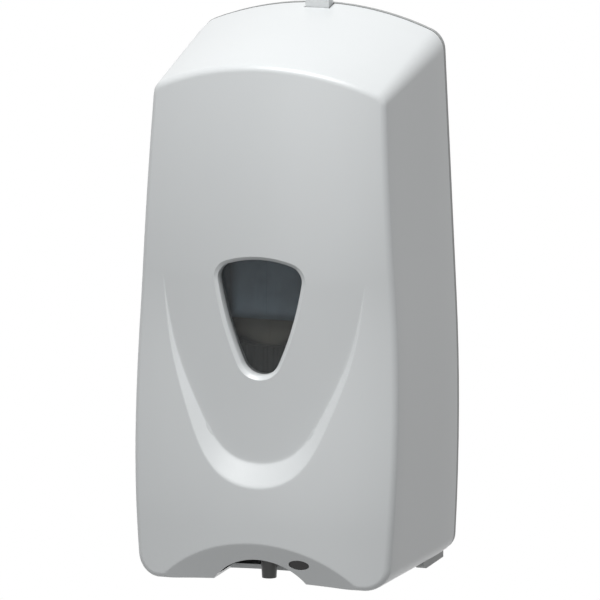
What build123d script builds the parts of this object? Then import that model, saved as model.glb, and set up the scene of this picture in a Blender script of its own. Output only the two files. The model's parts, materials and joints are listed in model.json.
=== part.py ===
# Touch-free foam soap dispenser for a wall: a hinged housing over a battery pump drive and a soap refill.
# The wall is the plane y = 0, the front faces -Y, +X is to the right and +Z is up.
# The origin is the centre of the four wall screws, on the rear face of the back plate.
# A "reach" is a distance from the wall, and a "rise" is a height above the foot of the housing.
import os
from math import atan, atan2, cos, degrees, floor, pi, radians, sin, sqrt, tan

from build123d import *

os.makedirs("parts", exist_ok=True)

# Wall screws: a rectangle of four holes
screw_rise = 150.0
screw_span_x = 80.0
screw_span_z = 160.0
screw_hole_d = 5.0
screw_head_d = 10.0

# Housing outline where it meets the wall, and on a plane ahead of its nose
nose_reach = 125.0
rear_apex_rise = 296.0
nose_apex_rise = 273.3
rear_shoulder_rise = 281.0
nose_shoulder_rise = 255.6
hip_rise = 140.0
rear_hip_tuck = 1.5
nose_hip_tuck = 1.9
waist_rise = 80.0
rear_waist_half = 76.9
nose_waist_tuck = 4.7
rear_foot_tuck = 2.4
nose_foot_tuck = 4.2
foot_drop = 2.0
foot_lift = 1.5
rear_shoulder_r = 13.0
nose_shoulder_r = 7.0
rear_foot_r = 11.0
nose_foot_r = 12.5

# Front face: crowned across, plumb in the middle, leaning back at the top, with a chin below
face_reach = 113.0
crown_r = 172.0
top_lean = 10.5
chin_reach = 7.0
chin_rise = 30.0
panel_lean = 0.012
face_stations = 6
wall = 2.5
edge_r = 3.0
rear_edge_reach = 3.6
overrun = 12.0

# Smile-shaped bevel between the face and the chin
smile_rise = 164.0
smile_half = 56.5
smile_depth = 110.8
smile_shares = ((1.0, 1.0), (0.885, 0.63), (0.68, 0.32), (0.38, 0.065), (0.0, 0.0))
bevel_focus_reach = 75.0
bevel_focus_rise = 122.0

# Scoop and hand notch at the foot of the front
scoop_rise = 23.0
scoop_r = 77.3
scoop_angles = (52.0, 39.0, 26.0, 13.0, 0.0)
scoop_focus_reach = 100.6
scoop_focus_rise = -20.0
notch_rise = 13.8
notch_r = 32.1
notch_depth = 42.0

# Window: a rounded triangle that points down
window_top_rise = 174.2
window_corner_rise = 168.8
window_corner_half = 24.0
window_side_half = 18.4
window_side_rise = 141.0
window_tip_rise = 99.0
window_corner_r = 8.3
window_tip_r = 11.2
corner_shares = (1.10, 0.58)
side_shares = (0.95, -0.30)
tip_grow_share = 1.90
window_bevel_angle = 38.0
window_bevel_depth = 2.6
skirt_wall = 1.8
skirt_depth = 9.4
skirt_slot_rise = 128.0
skirt_slot_height = 11.0
skirt_slot_depth = 4.0
lens_thickness = 1.5
lens_gap = 0.15

# Hinge at the foot: ears on the back plate, bosses and pins on the housing
hinge_reach = 30.0
hinge_rise = 3.0
ear_r = 7.0
ear_margin = 14.4
ear_width = 5.0
ear_root_height = 24.0
ear_gap = 0.5
boss_width = 6.6
boss_r = 6.0
pin_r = 2.0
pin_gap = 0.05
hinge_room = 8.0
boss_rear_gap = 1.0

# Back plate
plate_thickness = 3.0
plate_inset = 0.8
rim_gap = 0.8
rim_wall = 2.0
rim_depth = 9.0
rim_foot_rise = 40.0
rib_wall = 1.8
rib_depth = 5.0
rib_spacing = 22.0
rib_count = 4
rib_foot_rise = 122.0
rib_height = 118.0

# Latch at the top: a sprung slider with a thumb tab and a hook that holds a rib of the housing
tab_width = 13.0
tab_rear_reach = 4.0
tab_depth = 8.0
tab_gap = 0.6
tab_rise = 300.5
slider_foot_rise = 266.0
hook_rise = 272.0
hook_shelf = 4.0
hook_lip_rise = 283.0
hook_lip_wall = 2.5
hook_reach = 6.5
catch_rise = 279.0
catch_wall = 2.5
catch_gap = 0.5
catch_width = 11.0
guide_wall = 2.5
guide_foot_rise = 250.0
guide_top_rise = 284.0
guide_gap = 0.35
guide_floor = 2.5
spring_gap = 0.3

# Springs
latch_spring_r = 2.8
latch_spring_wire = 0.7
latch_spring_turns = 5
return_spring_r = 3.2
return_spring_wire = 0.8
return_spring_turns = 8

# Chassis: rear panel, refill shelf, floor and sensor arm in one moulding
chassis_gap = 0.3
panel_thickness = 2.5
panel_left = 58.0
panel_right = 62.0
panel_foot_rise = 4.0
shelf_rise = 106.0
shelf_thickness = 4.0
shelf_margin = 13.9
shelf_reach = 98.0
shelf_front_r = 24.0
shelf_gusset_wall = 2.0
shelf_gusset_drop = 22.0
shelf_gusset_reach = 60.0
floor_rise = 4.0
floor_thickness = 3.0
floor_left = 24.5
floor_right = 38.0
floor_margin = 6.0
arm_left = 30.0
arm_reach = 96.0
access_hole_r = 7.0

# Soap refill: bottle, screw collar and foam pump
pump_reach = 80.0
bottle_margin = 19.9
bottle_rear_reach = 12.0
bottle_front_reach = 91.0
bottle_shoulder_rise = 139.0
bottle_neck_rise = 126.6
bottle_top_rise = 262.0
bottle_edge_r = 9.0
panel_nose_half = 22.0
panel_nose_reach = 98.0
panel_nose_r = 6.0
panel_nose_margin = 14.0
bottle_wall = 1.5
bottle_top_r = 6.0
neck_r = 15.0
collar_r = 21.0
collar_height = 16.0
collar_grip_count = 24
collar_grip_depth = 0.8
cylinder_r = 15.5
cylinder_foot_rise = 66.0
cylinder_wall = 1.6
piston_r = 8.0
piston_gap = 0.4
piston_foot_rise = 40.0
piston_lap = 14.0
flange_r = 13.0
flange_rise = 46.3
flange_thickness = 2.7
liquid_bore_r = 2.6
neck_wall = 2.0
neck_drop = 4.0
plug_r = 12.6
plug_height = 7.0
piston_head = 3.0

# Foam spout under the piston
spout_reach = 94.5
spout_tip_r = 3.9
spout_root_r = 5.2
spout_bore_r = 2.4
spout_head_r = 9.5
spout_head_rise = 24.0
spout_duct_height = 8.0
spout_duct_rise = 22.0
spout_duct_half = 5.6
spout_foot_rise = 0.0

# Lift: fork and rack on two rods
fork_rise = 43.0
fork_thickness = 3.0
fork_rear_reach = 52.5
fork_front_reach = 92.0
fork_half = 24.8
fork_gap = 0.6
rod_half_span = 20.0
rod_reach = 60.0
rod_r = 2.0
rod_gap = 0.06
sleeve_r = 4.8
sleeve_drop = 5.0
sleeve_height = 16.0
rack_left = 30.0
rack_width = 7.0
rack_back = 6.5
rack_foot_rise = 40.0
rack_top_rise = 78.0

# Gear train in the plane of the wall's side view, all in one tooth size
tooth_module = 1.0
tooth_share = 0.40
tip_share = 0.62
addendum_share = 0.95
dedendum_share = 1.25
rack_pinion_teeth = 16
output_teeth = 34
wheel_teeth = 28
pinion_teeth = 10
output_reach = 44.0
output_rise = 62.0
second_angle = -35.0
first_angle = -134.0
motor_angle = -159.5
case_left = 40.0
case_wall = 2.0
case_gap = 1.5
layer_gap = 1.0
gear_width = 4.4
output_shaft_r = 3.0
gear_pin_r = 1.5
shaft_gap = 0.05
case_lug_width = 5.0
case_lug_height = 12.0
case_lug_rises = (24.0, 48.0)
case_split = 51.5
case_ear_r = 4.2
case_ear_width = 2.5
case_ear_out = 5.3
hub_r = 3.0

# Motor
motor_r = 12.0
motor_length = 33.0
motor_flat = 9.6
motor_boss_r = 3.0
motor_shaft_r = 1.0
motor_cap = 2.0
motor_cap_r = 4.0
motor_shaft_depth = 8.0

# Batteries: four cells, two deep and two high
cell_r = 13.1
cell_length = 48.6
cell_button_r = 3.0
cell_button = 1.2
cell_gap = 0.25
box_wall = 1.6
boss_margin = 0.4
box_foot_rise = 4.0
battery_front_reach = 69.1
contact_thickness = 0.4
contact_width = 12.0
door_thickness = 2.0
door_gap = 0.3
door_grip_height = 7.0
door_grip_depth = 2.0
door_grip_width = 16.0
box_post_width = 10.0
box_post_rises = (44.0, 84.0)
door_tongue = 3.0

# Electronics
board_left = 22.0
board_right = 36.0
board_foot_rise = 50.0
board_height = 50.0
board_thickness = 1.6
board_post = 3.4
board_post_r = 3.0
board_corner = 4.0
chip_width = 9.0
chip_height = 9.0
chip_depth = 1.6
capacitor_r = 4.0
capacitor_depth = 5.0
part_spacing = 14.0
plug_width = 10.0
plug_height = 6.0
plug_depth = 5.0
sensor_x = 23.1
sensor_rise = 12.2
sensor_lens_reach = 109.7
sensor_front_reach = 113.9
sensor_half_width = 5.6
sensor_half_height = 2.6
sensor_lens_depth = 1.6
sensor_board_half = 7.5
sensor_board_foot_rise = 3.6
sensor_board_height = 13.0
sensor_eye_r = 1.6
sensor_eye_depth = 4.0
sensor_eye_spacing = 5.6

# Small fasteners
screw_r = 1.4
screw_head_r = 3.0
screw_head = 1.8
screw_bite = 2.0
screw_fit = 0.2
chassis_screw_half = 51.0
chassis_screw_low_rise = 20.0
chassis_screw_high_rise = 96.0


def up(rise):
    """Height in the part's frame of a rise above the foot of the housing."""
    return rise - screw_rise


def write(piece, label):
    """Label one finished piece and write its STEP file."""
    piece.label = label
    export_step(piece, f"parts/{label}.step")


def between(rear, nose, reach):
    """Value on the straight line from the wall to the nose plane, at one reach."""
    return rear + (nose - rear) * reach / nose_reach


def housing_outline(reach, inset):
    """Front view of the housing at one reach, drawn smaller all round by the inset."""
    waist = between(rear_waist_half, rear_waist_half - nose_waist_tuck, reach) - inset
    hip = waist - between(rear_hip_tuck, nose_hip_tuck, reach)
    foot = waist - between(rear_foot_tuck, nose_foot_tuck, reach)
    apex_z = up(between(rear_apex_rise, nose_apex_rise, reach)) - inset
    shoulder_z = up(between(rear_shoulder_rise, nose_shoulder_rise, reach)) - inset
    foot_z = up(-foot_drop) + inset
    lean = tan(2 * atan((waist - hip) / (hip_rise - waist_rise)))
    shoulder = hip - lean * (shoulder_z - up(hip_rise))
    with BuildSketch(Plane.XZ.offset(reach)) as outline:
        with BuildLine():
            ThreePointArc((-foot, foot_z), (0, up(foot_lift) + inset), (foot, foot_z))
            ThreePointArc((shoulder, shoulder_z), (0, apex_z), (-shoulder, shoulder_z))
            for side in (1, -1):
                TangentArc((side * waist, up(waist_rise)), (side * foot, foot_z), tangent=(0, -1))
                TangentArc((side * waist, up(waist_rise)), (side * hip, up(hip_rise)), tangent=(0, 1))
                Line((side * hip, up(hip_rise)), (side * shoulder, shoulder_z))
        make_face()
        fillet(outline.vertices().sort_by(Axis.Y)[-2:], between(rear_shoulder_r, nose_shoulder_r, reach) - inset)
        fillet(outline.vertices().sort_by(Axis.Y)[:2], between(rear_foot_r, nose_foot_r, reach) - inset)
    return outline.sketch


def chin_face(rise):
    """Reach of the front's middle line: plumb, easing back above the smile and out to the chin below it."""
    if rise > smile_rise:
        share = (rise - smile_rise) / (rear_apex_rise - smile_rise)
        return face_reach - top_lean * share**2
    share = min(1.0, (smile_rise - rise) / (smile_rise - chin_rise))
    return face_reach + chin_reach * share**2 * (3 - 2 * share)


def panel_face(rise):
    """Reach of the panel inside the smile, which leans back a little towards its foot."""
    return face_reach + panel_lean * (rise - smile_rise)


def front_block(face, inset):
    """Everything behind one crowned face, as a loft through level sections."""
    half = rear_waist_half + overrun
    crown = crown_r - sqrt(crown_r**2 - half**2)
    low = -2 * overrun
    step = (smile_rise - low) / face_stations
    rises = [low + step * n for n in range(2 * face_stations)]
    sections = []
    for rise in rises:
        reach = face(rise) - inset
        with BuildSketch(Plane.XY.offset(up(rise))) as section:
            with BuildLine():
                ThreePointArc((-half, crown - reach), (0, -reach), (half, crown - reach))
                Polyline((half, crown - reach), (half, overrun), (-half, overrun), (-half, crown - reach))
            make_face()
        sections.append(section.sketch)
    with BuildPart() as block:
        loft(sections)
    return block.part


def smile_plug(grow):
    """Cone through the smile's outer edge, with its focus behind the face."""
    front_plane = nose_reach + overrun
    edge = []
    for share_x, share_z in smile_shares:
        x = (smile_half + grow) * share_x
        rise = smile_rise - smile_depth - grow + (smile_depth + grow) * share_z
        reach = chin_face(rise) - (crown_r - sqrt(crown_r**2 - x**2))
        stretch = (front_plane - bevel_focus_reach) / (reach - bevel_focus_reach)
        edge.append((x * stretch, up(bevel_focus_rise + (rise - bevel_focus_rise) * stretch)))
    points = [(-x, z) for x, z in edge] + [(x, z) for x, z in reversed(edge[:-1])]
    (tip_x, tip_z) = edge[0]
    with BuildSketch(Plane.XZ.offset(front_plane)) as wide_end:
        with BuildLine():
            Spline(*points)
            Polyline(points[-1], (tip_x, tip_z + overrun), (-tip_x, tip_z + overrun), points[0])
        make_face()
    with BuildPart() as plug:
        loft([wide_end.sketch, Vertex(0, -bevel_focus_reach, up(bevel_focus_rise))], ruled=True)
    return plug.part


def scoop_cutter(grow):
    """Cone through a round edge on the chin, with its focus low behind the face, so that it faces down."""
    front_plane = nose_reach + overrun
    focus_reach = scoop_focus_reach - grow
    edge = []
    for angle in scoop_angles:
        x = (scoop_r + grow) * sin(radians(angle))
        rise = scoop_rise - scoop_r + (scoop_r + grow) * cos(radians(angle))
        reach = chin_face(rise) - grow - (crown_r - sqrt(crown_r**2 - x**2))
        stretch = (front_plane - focus_reach) / (reach - focus_reach)
        edge.append((x * stretch, up(scoop_focus_rise + (rise - scoop_focus_rise) * stretch)))
    points = [(-x, z) for x, z in edge] + [(x, z) for x, z in reversed(edge[:-1])]
    (end_x, end_z) = edge[0]
    low = up(scoop_focus_rise - overrun)
    with BuildSketch(Plane.XZ.offset(front_plane)) as wide_end:
        with BuildLine():
            Spline(*points)
            Polyline(points[-1], (end_x, low), (-end_x, low), points[0])
        make_face()
    with BuildPart() as cutter:
        loft([wide_end.sketch, Vertex(0, -focus_reach, up(scoop_focus_rise))], ruled=True)
    return cutter.part


def housing_form(inset):
    """The housing as a full solid: drafted sides, crowned front, smile bevel and scoop."""
    rear = rear_edge_reach if inset == 0 else -overrun
    with BuildPart() as form:
        loft([housing_outline(rear, inset), housing_outline(nose_reach, inset)], ruled=True)
        add(front_block(chin_face, inset), mode=Mode.INTERSECT)
        front_face = form.faces().sort_by(Axis.Y)[0]
        fillet(front_face.edges(), edge_r - inset)
    with BuildPart() as recess:
        add(smile_plug(inset))
        add(front_block(panel_face, inset), mode=Mode.SUBTRACT)
        add(scoop_cutter(inset))
    with BuildPart() as shaped:
        add(form.part)
        add(recess.part, mode=Mode.SUBTRACT)
    return shaped.part


def window_outline(reach, grow):
    """Rounded triangle of the window, with a gently arched top, drawn larger all round by the growth."""
    corner_x = window_corner_half + corner_shares[0] * grow
    corner_z = up(window_corner_rise) + corner_shares[1] * grow
    side_x = window_side_half + side_shares[0] * grow
    side_z = up(window_side_rise) + side_shares[1] * grow
    tip = (0, up(window_tip_rise) - tip_grow_share * grow)
    with BuildSketch(Plane.XZ.offset(reach)) as outline:
        with BuildLine():
            ThreePointArc((-corner_x, corner_z), (0, up(window_top_rise) + grow), (corner_x, corner_z))
            ThreePointArc((corner_x, corner_z), (side_x, side_z), tip)
            ThreePointArc((-corner_x, corner_z), (-side_x, side_z), tip)
        make_face()
        fillet(outline.vertices().sort_by(Axis.Y)[0], window_tip_r + grow)
        fillet(outline.vertices().sort_by(Axis.Y)[-2:], window_corner_r + grow)
    return outline.sketch


# Housing shell with its window skirt, hinge bosses and latch rib
hinge_z = up(hinge_rise)
ear_inner = rear_waist_half - ear_margin
boss_inner = ear_inner - ear_gap - boss_width
skirt_front_reach = face_reach - wall + ear_gap
skirt_rear_reach = skirt_front_reach - skirt_depth
catch_reach = tab_rear_reach + tab_depth + tab_gap + catch_gap
floor_top = up(wall + foot_lift + ear_gap)
below = up(-overrun)
catch_top = up(between(rear_apex_rise, nose_apex_rise, catch_reach)) - wall / 2

with BuildPart() as cover_additions:
    extrude(window_outline(skirt_rear_reach, skirt_wall), amount=skirt_front_reach - skirt_rear_reach)
    for boss_start in (boss_inner, -boss_inner - boss_width):
        with BuildSketch(Plane.YZ.offset(boss_start)) as boss_profile:
            with Locations((-hinge_reach, hinge_z)):
                Circle(boss_r)
                Rectangle(2 * boss_r, hinge_z - up(foot_lift), align=(Align.CENTER, Align.MAX))
        extrude(boss_profile.sketch, amount=boss_width)
    with Locations((0, -catch_reach, up(catch_rise))):
        Box(catch_width, catch_wall, catch_top - up(catch_rise), align=(Align.CENTER, Align.MAX, Align.MIN))

# What is cut away behind the hinge: half the place in X, width, how far forward, and how high
floor_cuts = (
    (0, 2 * boss_inner, hinge_reach + hinge_room, floor_top),
    (boss_inner + boss_width / 2, boss_width + 4 * ear_gap, hinge_reach - boss_r - boss_rear_gap, floor_top),
    (ear_inner + ear_width / 2, ear_width + 2 * ear_gap, hinge_reach + hinge_room, hinge_z + ear_r + boss_r),
)
with BuildPart() as cover_cuts:
    extrude(window_outline(skirt_rear_reach - overrun, 0), amount=3 * overrun)
    extrude(window_outline(face_reach - window_bevel_depth, 0), amount=overrun, taper=-window_bevel_angle)
    with Locations((0, -skirt_rear_reach, up(skirt_slot_rise + skirt_slot_height / 2))):
        Box(2 * window_corner_half, 2 * skirt_slot_depth, skirt_slot_height)
    with BuildSketch(Plane.XZ.offset(nose_reach + overrun)) as notch_profile:
        with Locations((0, up(notch_rise - notch_r))):
            Circle(notch_r)
    extrude(notch_profile.sketch, amount=-notch_depth - overrun)
    with BuildSketch(Plane.XZ.offset(nose_reach)) as sensor_profile:
        with Locations((sensor_x, up(sensor_rise))):
            Ellipse(sensor_half_width + lens_gap, sensor_half_height + lens_gap)
    extrude(sensor_profile.sketch, amount=-2 * overrun)
    for x, width, reach, top_z in floor_cuts:
        for side in (1, -1):
            with Locations((side * x, overrun, below)):
                Box(width, reach + overrun, top_z - below, align=(Align.CENTER, Align.MAX, Align.MIN))
    with Locations((0, -hinge_reach, hinge_z)):
        Cylinder(pin_r, 2 * (ear_inner + ear_width), rotation=(0, 90, 0))
    with Locations((0, overrun, up(rear_apex_rise + overrun))):
        Box(
            tab_width + 2 * tab_gap,
            overrun + tab_rear_reach + tab_depth + tab_gap,
            3 * overrun,
            align=(Align.CENTER, Align.MAX, Align.MAX),
        )

with BuildPart() as cover:
    add(housing_form(0))
    add(housing_form(wall), mode=Mode.SUBTRACT)
    add(cover_additions.part)
    add(cover_cuts.part, mode=Mode.SUBTRACT)
write(cover.part, "cover_shell")

# Window lens, held in the skirt by two tongues in the slots
lens_reach = skirt_rear_reach + skirt_slot_depth / 2
with BuildPart() as lens:
    extrude(window_outline(lens_reach, -lens_gap), amount=lens_thickness)
    with Locations((0, -lens_reach, up(skirt_slot_rise + skirt_slot_height / 2))):
        Box(
            2 * (window_side_half + skirt_wall),
            lens_thickness,
            skirt_slot_height - 2 * lens_gap,
            align=(Align.CENTER, Align.MAX, Align.CENTER),
        )
write(lens.part, "window_lens")

# Dark oval lens of the hand sensor, set in the scoop
with BuildPart() as sensor_lens:
    with BuildSketch(Plane.XZ.offset(sensor_lens_reach)) as sensor_oval:
        with Locations((sensor_x, up(sensor_rise))):
            Ellipse(sensor_half_width, sensor_half_height)
    extrude(sensor_oval.sketch, amount=sensor_front_reach - sensor_lens_reach)
    with BuildSketch(Plane.XZ.offset(sensor_lens_reach)) as sensor_rim:
        with Locations((sensor_x, up(sensor_rise))):
            Ellipse(sensor_half_width + sensor_lens_depth, sensor_half_height + sensor_lens_depth)
    extrude(sensor_rim.sketch, amount=-sensor_lens_depth)
write(sensor_lens.part, "sensor_lens")

# Hinge pins, pressed in the bosses and running in the ears
pin_length = boss_width + ear_gap + ear_width
with BuildPart() as hinge_pins:
    for side in (1, -1):
        with Locations((side * (boss_inner + pin_length / 2), -hinge_reach, hinge_z)):
            Cylinder(pin_r, pin_length, rotation=(0, 90, 0))
write(hinge_pins.part, "hinge_pins")

# Back plate: the flat plate, a rim inside the housing, ribs, hinge ears, latch guide and screw holes
guide_inner = tab_width / 2 + guide_gap
guide_reach = tab_rear_reach + tab_depth
with BuildPart() as rim_room:
    loft([housing_outline(0, wall + rim_gap), housing_outline(nose_reach, wall + rim_gap)], ruled=True)
with BuildPart() as rim_core:
    rim_inset = wall + rim_gap + rim_wall
    loft([housing_outline(0, rim_inset), housing_outline(nose_reach, rim_inset)], ruled=True)
with BuildPart() as back_plate:
    with Locations((0, -plate_thickness, up(rim_foot_rise))):
        Box(
            2 * rear_waist_half,
            rim_depth,
            rear_apex_rise,
            align=(Align.CENTER, Align.MAX, Align.MIN),
        )
    add(rim_room.part, mode=Mode.INTERSECT)
    add(rim_core.part, mode=Mode.SUBTRACT)
    extrude(housing_outline(0, plate_inset), amount=plate_thickness)
    with Locations((0, -plate_thickness, up(rib_foot_rise))):
        with GridLocations(rib_spacing, 0, rib_count, 1):
            Box(rib_wall, rib_depth, rib_height, align=(Align.CENTER, Align.MAX, Align.MIN))
    for ear_start in (ear_inner, -ear_inner - ear_width):
        with BuildSketch(Plane.YZ.offset(ear_start)) as ear_profile:
            with BuildLine():
                Line((-hinge_reach, hinge_z - ear_r), (0, hinge_z - ear_r))
                Line((0, hinge_z - ear_r), (0, hinge_z - ear_r + ear_root_height))
                Line((0, hinge_z - ear_r + ear_root_height), (-plate_thickness, hinge_z - ear_r + ear_root_height))
                Line((-plate_thickness, hinge_z - ear_r + ear_root_height), (-hinge_reach, hinge_z + ear_r))
                ThreePointArc(
                    (-hinge_reach, hinge_z + ear_r), (-hinge_reach - ear_r, hinge_z), (-hinge_reach, hinge_z - ear_r)
                )
            make_face()
            with Locations((-hinge_reach, hinge_z)):
                Circle(pin_r + pin_gap, mode=Mode.SUBTRACT)
        extrude(ear_profile.sketch, amount=ear_width)
    with Locations((0, 0, up(guide_foot_rise))):
        Box(
            2 * (guide_inner + guide_wall),
            guide_reach,
            guide_top_rise - guide_foot_rise,
            align=(Align.CENTER, Align.MAX, Align.MIN),
        )
    with Locations((0, -tab_rear_reach + guide_gap, up(guide_foot_rise + guide_floor))):
        Box(
            2 * guide_inner,
            guide_reach + overrun,
            guide_top_rise - guide_foot_rise,
            align=(Align.CENTER, Align.MAX, Align.MIN),
            mode=Mode.SUBTRACT,
        )
    with Locations((0, -tab_rear_reach + guide_gap, up(guide_top_rise))):
        Box(
            2 * guide_inner,
            guide_reach + overrun,
            rear_apex_rise,
            align=(Align.CENTER, Align.MAX, Align.CENTER),
            mode=Mode.SUBTRACT,
        )
    with Locations(Plane.XZ.offset(plate_thickness)):
        with GridLocations(screw_span_x, screw_span_z, 2, 2):
            CounterSinkHole(screw_hole_d / 2, screw_head_d / 2, counter_sink_angle=90)
    for x in (-chassis_screw_half, chassis_screw_half):
        for rise in (chassis_screw_low_rise, chassis_screw_high_rise):
            with Locations((x, 0, up(rise))):
                Cylinder(screw_r, 2 * plate_thickness, rotation=(90, 0, 0), mode=Mode.SUBTRACT)
write(back_plate.part, "back_plate")

# Latch slider: thumb tab, stem, hook shelf and its raised lip
with BuildPart() as latch_slider:
    with Locations((0, -tab_rear_reach, up(slider_foot_rise))):
        Box(tab_width, tab_depth, tab_rise - slider_foot_rise, align=(Align.CENTER, Align.MAX, Align.MIN))
    tab_edges = latch_slider.edges().group_by(Axis.Z)[-1]
    fillet(tab_edges, tab_gap)
    with Locations((0, -tab_rear_reach, up(hook_rise))):
        Box(catch_width, tab_depth + hook_reach, hook_shelf, align=(Align.CENTER, Align.MAX, Align.MIN))
    with Locations((0, -tab_rear_reach - tab_depth - hook_reach, up(hook_rise))):
        Box(catch_width, hook_lip_wall, hook_lip_rise - hook_rise, align=(Align.CENTER, Align.MIN, Align.MIN))
    lip_edges = latch_slider.edges().filter_by(Axis.X).group_by(Axis.Y)[0].sort_by(Axis.Z)[-1]
    chamfer(lip_edges, hook_lip_wall / 2)
write(latch_slider.part, "latch_slider")


def coil(radius, wire, foot, length, turns):
    """Unbroken round-wire coil about the Z axis."""
    with BuildPart() as spring:
        with BuildLine() as path:
            Helix(pitch=length / turns, height=length, radius=radius, center=(0, 0, foot))
        start = path.line @ 0
        with BuildSketch(Plane(origin=start, z_dir=path.line % 0)):
            Circle(wire / 2)
        sweep(is_frenet=True)
    return spring.part


# Latch spring between the guide's floor and the slider
latch_spring_foot = guide_foot_rise + guide_floor + latch_spring_wire / 2 + spring_gap
latch_spring_length = slider_foot_rise - latch_spring_foot - latch_spring_wire / 2 - spring_gap
latch_coil = coil(latch_spring_r, latch_spring_wire, 0, latch_spring_length, latch_spring_turns)
latch_place = Pos(0, -tab_rear_reach - tab_depth / 2, up(latch_spring_foot))
write(latch_place * latch_coil, "latch_spring")

# Chassis in one moulding: rear panel, refill shelf on gussets, floor and sensor arm
panel_reach = plate_thickness + chassis_gap
floor_reach = rod_reach + floor_margin
panel_front = panel_reach + panel_thickness
shelf_half = rear_waist_half - shelf_margin
board_span = board_left + board_right - 2 * board_corner
board_corners = [
    (x, z)
    for x in (board_corner - board_left, board_corner - board_left + board_span)
    for z in (up(board_foot_rise + board_corner), up(board_foot_rise + board_height - board_corner))
]
with BuildPart() as chassis:
    with Locations((-panel_left, -panel_reach, up(panel_foot_rise))):
        Box(
            panel_left + panel_right,
            panel_thickness,
            shelf_rise - panel_foot_rise,
            align=(Align.MIN, Align.MAX, Align.MIN),
        )
    with BuildSketch(Plane.XY.offset(up(shelf_rise))) as shelf_profile:
        with Locations((0, -panel_reach)):
            Rectangle(2 * shelf_half, shelf_reach - panel_reach, align=(Align.CENTER, Align.MAX))
        fillet(shelf_profile.vertices().sort_by(Axis.Y)[:2], shelf_front_r)
        with Locations((0, -pump_reach)):
            Circle(cylinder_r + fork_gap, mode=Mode.SUBTRACT)
            Rectangle(
                2 * (cylinder_r + fork_gap), shelf_reach, align=(Align.CENTER, Align.MAX), mode=Mode.SUBTRACT
            )
    extrude(shelf_profile.sketch, amount=shelf_thickness)
    for gusset_start in (-panel_left, panel_right - shelf_gusset_wall):
        with BuildSketch(Plane.YZ.offset(gusset_start)) as gusset:
            with BuildLine():
                Polyline(
                    (-panel_reach, up(shelf_rise)),
                    (-shelf_gusset_reach, up(shelf_rise)),
                    (-panel_reach, up(shelf_rise - shelf_gusset_drop)),
                    close=True,
                )
            make_face()
        extrude(gusset.sketch, amount=shelf_gusset_wall)
    with Locations((-floor_left, -panel_reach, up(floor_rise))):
        Box(
            floor_left + floor_right,
            floor_reach - panel_reach,
            floor_thickness,
            align=(Align.MIN, Align.MAX, Align.MIN),
        )
    with Locations((arm_left, -floor_reach, up(floor_rise))):
        Box(floor_right - arm_left, arm_reach - floor_reach, floor_thickness, align=(Align.MIN, Align.MAX, Align.MIN))
    with Locations((sensor_x - sensor_board_half, -arm_reach, up(floor_rise))):
        Box(
            floor_right - sensor_x + sensor_board_half,
            floor_thickness,
            sensor_board_height - chassis_gap,
            align=(Align.MIN, Align.MIN, Align.MIN),
        )
    for side in (1, -1):
        with Locations((side * rod_half_span, -rod_reach, up(floor_rise))):
            Cylinder(rod_r, 2 * floor_thickness, mode=Mode.SUBTRACT)
        with Locations((side * rod_half_span, -rod_reach, up(shelf_rise))):
            Cylinder(rod_r, 4 * shelf_thickness, mode=Mode.SUBTRACT)
    for x in (-screw_span_x / 2, screw_span_x / 2):
        with Locations((x, -panel_reach, -screw_span_z / 2)):
            Cylinder(access_hole_r, 4 * panel_thickness, rotation=(90, 0, 0), mode=Mode.SUBTRACT)
    for x in (-chassis_screw_half, chassis_screw_half):
        for rise in (chassis_screw_low_rise, chassis_screw_high_rise):
            with Locations((x, -panel_reach, up(rise))):
                Cylinder(screw_r + screw_fit, 4 * panel_thickness, rotation=(90, 0, 0), mode=Mode.SUBTRACT)
    for x, z in board_corners:
        with Locations((x, -panel_front, z)):
            Cylinder(board_post_r, board_post, rotation=(90, 0, 0), align=(Align.CENTER, Align.CENTER, Align.MIN))
            Cylinder(
                screw_r, 2 * board_post + panel_thickness, rotation=(90, 0, 0), mode=Mode.SUBTRACT
            )
write(chassis.part, "chassis")

# Control board on the chassis posts, with its chips, capacitors and plugs
board_rear = panel_front + board_post
board_front = board_rear + board_thickness
board_middle = (board_right - board_left) / 2
with BuildPart() as control_board:
    with Locations((-board_left, -board_rear, up(board_foot_rise))):
        Box(board_left + board_right, board_thickness, board_height, align=(Align.MIN, Align.MAX, Align.MIN))
    for x, z in board_corners:
        with Locations((x, -board_rear, z)):
            Cylinder(screw_r + screw_fit, 4 * board_thickness, rotation=(90, 0, 0), mode=Mode.SUBTRACT)
write(control_board.part, "control_board")

with BuildPart() as board_parts:
    for n in (-1, 0, 1):
        x = board_middle + n * part_spacing
        with Locations((x, -board_front, up(board_foot_rise + board_height / 2))):
            Box(chip_width, chip_depth, chip_height, align=(Align.CENTER, Align.MAX, Align.CENTER))
        with Locations((x, -board_front, up(board_foot_rise + board_height - board_corner - capacitor_r))):
            Cylinder(
                capacitor_r, capacitor_depth, rotation=(90, 0, 0), align=(Align.CENTER, Align.CENTER, Align.MIN)
            )
        with Locations((x, -board_front, up(board_foot_rise + board_corner + plug_height / 2))):
            Box(plug_width, plug_depth, plug_height, align=(Align.CENTER, Align.MAX, Align.CENTER))
write(board_parts.part, "board_parts")

# Sensor board on the end of the chassis arm, with a sender and a receiver behind the dark lens
with BuildPart() as sensor_board:
    with Locations((sensor_x, -arm_reach, up(sensor_board_foot_rise))):
        Box(2 * sensor_board_half, board_thickness, sensor_board_height, align=(Align.CENTER, Align.MAX, Align.MIN))
write(sensor_board.part, "sensor_board")

with BuildPart() as sensor_leds:
    for side in (1, -1):
        x = sensor_x + side * sensor_eye_spacing / 2
        with Locations((x, -arm_reach - board_thickness, up(sensor_rise))):
            Cylinder(
                sensor_eye_r, sensor_eye_depth, rotation=(90, 0, 0), align=(Align.CENTER, Align.CENTER, Align.MIN)
            )
    tips = sensor_leds.edges().group_by(Axis.Y)[0]
    fillet(tips, sensor_eye_r / 2)
write(sensor_leds.part, "sensor_leds")

bottle_half = rear_waist_half - bottle_margin


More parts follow.
